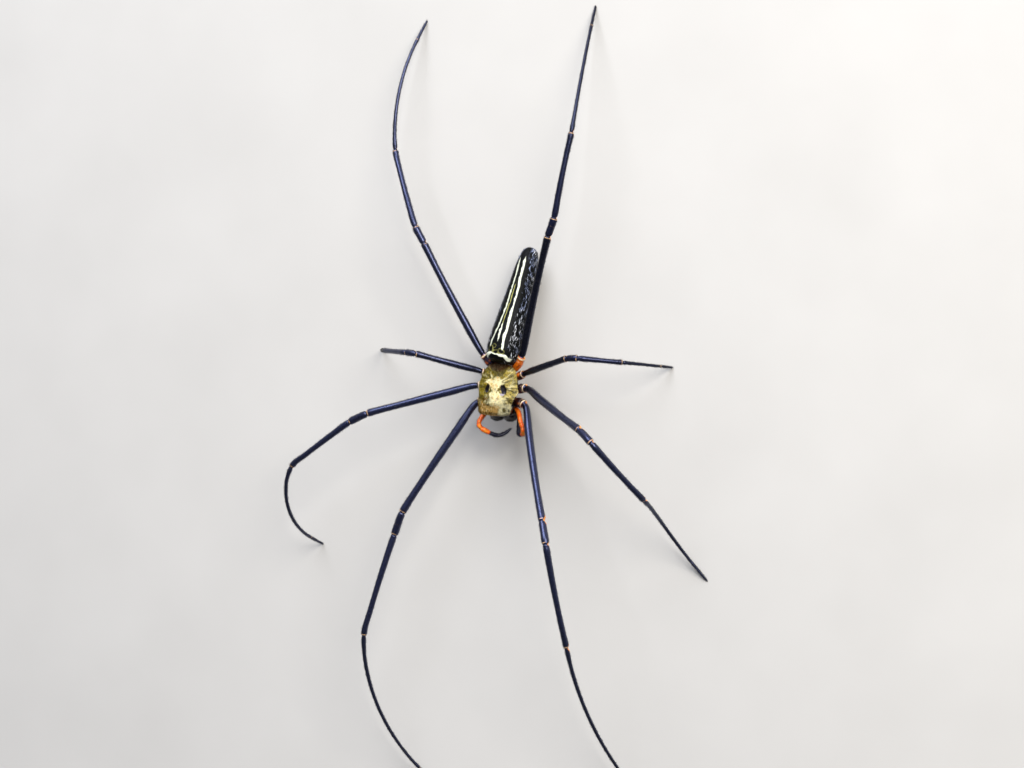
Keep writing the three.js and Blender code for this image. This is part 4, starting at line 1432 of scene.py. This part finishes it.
def abdomenPattern(s, look):
    at = abdomenPlace(s, look)
    along, outward = at["along"], at["outward"]
    stripes = (paleStripe(at, "right", -1) * 0.8).most(paleStripe(at, "left", 1))
    blobs, thread = middleMarks(at)
    first, second, third, small = (yellowLoop(s, at, *loop) for loop in yellowLoops)
    loops = first.most(second).most(third).most(small * 0.7)
    specks = s.cells(900).fall(0.08, 0.18) * s.noise(240).rise(0.48, 0.54)
    pale = flankStreaks(s, at).most(specks * outward.rise(30, 36) * 0.8)
    tip = s.cells(1500).rise(0.2, 0.5) * s.noise(700).rise(0.42, 0.56) * along.rise(22.8, 24.2)
    low = outward.rise(118, 150)
    face = along.fall(0.4, 1.3) * outward.rise(40, 90) * s.noise(800, 3).rise(0.4, 0.6)
    colour = s.mixColour(low.most(face), look["black"], look["belly"])
    colour = s.mixColour(face * 0.5, colour, look["face"])
    whiter = (s.noise(380) - along / 160).rise(0.36, 0.56)
    flank = s.mixColour(low, s.mixColour(whiter, look["blueGrey"], look["white"]), look["spot"])
    colour = s.mixColour(tip * outward.rise(20, 40) * 0.3, colour, look["blueGrey"])
    colour = s.mixColour(pale * 0.9, colour, flank)
    colour = s.mixColour(loops * 0.65, colour, look["yellow"])
    colour = s.mixColour(thread * 0.8, colour, look["yellow"])
    marks = stripes.most(crossBand(at)).most(blobs * 0.9)
    return s.mixColour(marks, colour, look["cream"]), marks.most(pale)


def abdomenMaterial():
    def varying(s):
        colour, marks = abdomenPattern(s, abdomenLook)
        leather = s.cells(4200).rise(0.0, 0.6)
        wrinkle = s.noise(2400, 3)
        return {
            "Base Color": colour,
            "Roughness": 0.42 + 0.12 * wrinkle + 0.1 * marks,
            "Normal": s.bump(leather * 0.6 + wrinkle, 0.35, 0.00004),
        }

    return newMaterial("patternedCuticle", {"IOR": 1.45, "Specular IOR Level": 0.1}, varying)


abdomenCoat = dict(fineHair, count=5500, length=0.36, vary=0.45, spread=0.3, rise=0.4, width=0.007)


def makeAbdomen():
    grid, along = abdomenSurface()
    addSkin("abdomen_skin", grid, {}, abdomenMaterial(), ["abdomen"])
    random = np.random.RandomState(31)
    lie = np.broadcast_to(abdomenAxis()[1], grid.shape)
    weight = np.ones(grid.shape[:2]) * smooth(along, 0.1, 0.6)[:, None]
    hair = hairMaterial("abdomenHair", tint(9, 8, 8), tint(90, 84, 72), 0.1)
    addHair("abdomen_hair", grid, lie, weight, abdomenCoat, hair, random)


makeAbdomen()
print("stage: abdomen")

# Spinnerets: a low base under the abdomen with three pairs of tapered cones
spinners = {
    "along": 20.4, "bellyRadius": 2.58, "baseSize": (1.15, 1.4, 0.75), "sink": 0.1, "inset": 0.03,
    # each cone's place across and along the base, its length and radius, and how far it leans to the rear
    "cones": [(0.52, -0.6, 1.15, 0.42, 0.25), (0.25, 0.05, 0.75, 0.26, 0.1), (0.5, 0.7, 1.05, 0.38, -0.45)],
    "shape": [(0, 1), (0.1, 1.0), (0.3, 0.99), (0.5, 0.93), (0.62, 0.86), (0.64, 0.8), (0.66, 0.84),
              (0.8, 0.72), (0.94, 0.5), (0.985, 0.3)],
    "foot": 0.45, "outward": 0.12, "rows": 40, "columns": 20, "ridges": 40, "ridgeDepth": 0.02,
}


def blackMaterial(name, colour, roughness, bumpScale, fixed):
    def varying(s):
        mottle = s.noise(1500, 3)
        return {
            "Base Color": s.mixColour(mottle.rise(0.35, 0.7) * 0.6, colour, tint(22, 13, 9)),
            "Roughness": roughness + 0.12 * mottle,
            "Normal": s.bump(s.noise(bumpScale, 3), 0.4, 0.00003),
        }

    return newMaterial(name, fixed, varying)


blackShine = {"IOR": 1.5, "Specular IOR Level": 0.32}
blackCuticle = blackMaterial("blackCuticle", tint(5, 4, 6), 0.15, 7000, blackShine)


def spinnerCone(centre, side, across, behind, length, width, lean):
    way = unit(np.array([-side * spinners["outward"], -math.sin(lean), -math.cos(lean)]))
    start = centre + np.array([side * across, behind, -spinners["baseSize"][2] * spinners["foot"]])
    line = lineThrough([start, start + way * length * 0.5, start + way * length], 0.02)
    stations = np.linspace(0, line["length"], spinners["rows"])
    radius = smoothTable(spinners["shape"], stations / line["length"]) * (width - spinners["inset"])
    radius = radius * (1 + spinners["ridgeDepth"] * np.sin(stations * spinners["ridges"]))
    return ringsRound(line, stations, radius[:, None] * np.ones((1, spinners["columns"])))[0]


def makeSpinnerets():
    share = spinners["along"] / abdomen["radii"][-1][0]
    middle = blendOf(np.array(abdomen["front"]), np.array(abdomen["tip"]), share)
    centre = middle - np.array([0, 0, spinners["bellyRadius"] - spinners["sink"]])
    skins = [(ballSurface(centre, np.array(spinners["baseSize"]) - spinners["inset"], 40, 48), {})]
    for side in (1, -1):
        skins += [(spinnerCone(centre, side, *cone), {}) for cone in spinners["cones"]]
    piece = joinSkins("spinneret_cluster", skins, blackCuticle)
    finishPiece(piece, ["spinnerets"])


makeSpinnerets()
print("stage: spinnerets")

# Jaws, fangs and palps: one side's path, and radii by share of the length
jaw = {
    "path": [(1.6, -5.2, 10.4), (1.62, -6.3, 9.5), (1.62, -6.85, 7.9), (1.56, -6.9, 6.3), (1.42, -6.6, 5.0)],
    "radii": [(0, 1.15), (0.3, 1.32), (0.55, 1.38), (0.8, 1.18), (0.92, 0.98), (0.98, 0.72), (1, 0.4)],
    "coat": 0.06, "columns": 48, "spacing": 0.06,
}
fang = {
    "path": [(1.4, -6.5, 5.2), (1.45, -6.65, 4.35), (1.1, -6.6, 3.8), (0.4, -6.2, 3.85)],
    "radii": [(0, 0.36), (0.35, 0.3), (0.75, 0.19), (1, 0.07)],
    "coat": 0.0, "columns": 24, "spacing": 0.04,
}
palps = {
    "right": [(-2.65, -5.3, 7.3), (-3.5, -6.1, 7.9), (-4.35, -7.5, 9.3), (-4.85, -9.1, 10.0),
              (-4.4, -10.0, 9.9), (-3.3, -10.75, 9.1), (-2.2, -11.35, 8.2), (-1.3, -11.6, 7.4),
              (-0.2, -11.2, 6.7), (1.25, -9.95, 6.0)],
    "left": [(2.65, -5.3, 7.3), (3.65, -6.0, 8.0), (4.9, -7.9, 9.3), (5.85, -9.9, 9.7), (5.75, -10.65, 9.3),
             (4.85, -11.1, 8.9), (4.35, -10.8, 8.6), (4.0, -9.7, 8.1), (3.75, -8.4, 7.7), (3.5, -7.2, 7.5)],
    "coat": 0.05, "columns": 36, "spacing": 0.06,
    # the upper part ends at the joint, and the lower one starts a gap behind it
    "joint": 0.62, "gap": 0.012,
    "upper": [(0, 0.56), (0.2, 0.59), (0.55, 0.56), (0.66, 0.6), (0.72, 0.55), (0.85, 0.63), (1, 0.54)],
    "lower": [(0, 0.48), (0.18, 0.52), (0.38, 0.46), (0.44, 0.48), (0.75, 0.41), (0.94, 0.29), (1, 0.16)],
    # creases at the knee and the ankle, as shares of the whole length
    "rings": (0.375, 0.455, 0.62, 0.79), "ringWidth": 0.012, "crease": 0.12,
    "shares": 160, "ringShares": 400,
}
jawCoat = dict(fineHair, count=1800, length=0.5, vary=0.4, spread=0.3, rise=0.5, width=0.016)
palpCoat = dict(jawCoat, count=1100, length=0.36, width=0.012, rise=0.42)


def sideOf(points, side):
    return [(side * x, y, z) for x, y, z in points]


def limbSurface(path, radii, limb):
    line = lineThrough(path, 0.03)
    stations = np.linspace(0, line["length"], int(line["length"] / limb["spacing"]))
    share = stations / line["length"]
    radius = smoothTable(radii, share) - limb["coat"]
    grid, forward = ringsRound(line, stations, radius[:, None] * np.ones((1, limb["columns"])))
    return grid, share, np.broadcast_to(forward[:, None], grid.shape)


# How deep in a crease each share of the palp's length is
def creaseShare(at):
    table = np.linspace(0, 1, palps["ringShares"])
    return np.interp(at, table, sum(swell(table - place, palps["ringWidth"]) for place in palps["rings"]))


def palpRadii():
    joint, gap = palps["joint"], palps["gap"]
    radii = [(share * joint, radius) for share, radius in palps["upper"]]
    radii += [(joint + gap + share * (1 - gap - joint), radius) for share, radius in palps["lower"]]
    shares = np.linspace(0, 1, palps["shares"])
    creased = smoothTable(radii, shares) * (1 - palps["crease"] * creaseShare(shares))
    return list(zip(shares, creased))


palpLook = {
    "orange": tint(236, 92, 14), "yellow": tint(240, 146, 36), "deep": tint(120, 30, 8),
    # the black is tinted blue as painted sheen
    "black": tint(13, 17, 36), "sheen": (0.94, 0.92, 1.0, 1),
}


def palpMaterial():
    look = palpLook

    def varying(s):
        share = s.attribute("share")
        mottle = s.noise(1300, 3)
        orange = s.mixColour(mottle.rise(0.4, 0.7), look["orange"], look["yellow"])
        orange = s.mixColour(s.attribute("ring").rise(0.4, 1.0) * 0.45, orange, look["deep"])
        colour = s.mixColour((share + (mottle - 0.5) * 0.03).rise(0.6, 0.62), orange, look["black"])
        return {
            "Base Color": colour,
            "Roughness": 0.24 + 0.16 * mottle,
            "Normal": s.bump(s.noise(6000, 3), 0.3, 0.00003),
        }

    fixed = {"IOR": 1.5, "Specular IOR Level": 0.42, "Specular Tint": look["sheen"]}
    return newMaterial("palpCuticle", fixed, varying)


def makeJaw(sideName, side, bristle, random):
    grid, share, lie = limbSurface(sideOf(jaw["path"], side), jaw["radii"], jaw)
    addSkin(f"jaw_{sideName}_skin", grid, {}, blackCuticle, [f"jaw_{sideName}"])
    weight = np.ones(grid.shape[:2]) * smooth(share, 0.25, 0.5)[:, None]
    addHair(f"jaw_{sideName}_hair", grid, lie, weight, jawCoat, bristle, random)


def makeFang(sideName, side, horn):
    grid = limbSurface(sideOf(fang["path"], side), fang["radii"], fang)[0]
    addSkin(f"fang_{sideName}_horn", grid, {}, horn, [f"fang_{sideName}"])


def makePalp(sideName, material, bristle, random):
    palp = f"palp_{sideName}"
    grid, share, lie = limbSurface(palps[sideName], palpRadii(), palps)
    marks = {"share": share, "ring": creaseShare(share)}
    values = {key: np.broadcast_to(value[:, None], grid.shape[:2]) for key, value in marks.items()}
    addSkin(f"{palp}_skin", grid, values, material, [f"{palp}_upper", f"{palp}_lower"])
    lower = smooth(share, palps["joint"] - 0.05, palps["joint"] + 0.1)
    weight = np.ones(grid.shape[:2]) * (0.4 + 0.6 * lower)[:, None]
    addHair(f"{palp}_hair", grid, lie, weight, palpCoat, bristle, random)


def makeMouth():
    bristle = hairMaterial("jawBristle", tint(6, 5, 7), tint(70, 50, 34), 0.1)
    horn = blackMaterial("fangHorn", tint(24, 8, 6), 0.16, 9000, {"IOR": 1.6, "Coat Weight": 0.5})
    palpSkin = palpMaterial()
    for sideName, side in (("left", 1), ("right", -1)):
        random = np.random.RandomState(50 + side)
        makeJaw(sideName, side, bristle, random)
        makeFang(sideName, side, horn)
        makePalp(sideName, palpSkin, bristle, random)


makeMouth()
print("stage: jaws, fangs and palps")

# Eyes: a glossy lens at the middle of each packed eye
eyeLook = {"dark": tint(10, 8, 8), "brown": tint(38, 20, 10), "glow": 2000, "rows": 32, "columns": 40}


def makeEyes():
    def varying(s):
        glow = s.noise(eyeLook["glow"])
        return {"Base Color": s.mixColour(glow, eyeLook["dark"], eyeLook["brown"])}

    lens = newMaterial("eyeLens", {"Roughness": 0.06, "IOR": 1.6, "Coat Weight": 1.0}, varying)
    for kind in ("front_median", "rear_median", "front_lateral", "rear_lateral"):
        for sideName in ("left", "right"):
            node = f"eye_{kind}_{sideName}"
            low, high = (np.array(corner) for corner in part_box(node))
            centre = ((low + high) / 2 - origin) / mm
            radius = (high - low).max() / 2 / mm
            grid = ballSurface(centre, np.full(3, radius), eyeLook["rows"], eyeLook["columns"])
            addSkin(f"{node}_lens", grid, {}, lens, [node])


makeEyes()
print("stage: eyes")
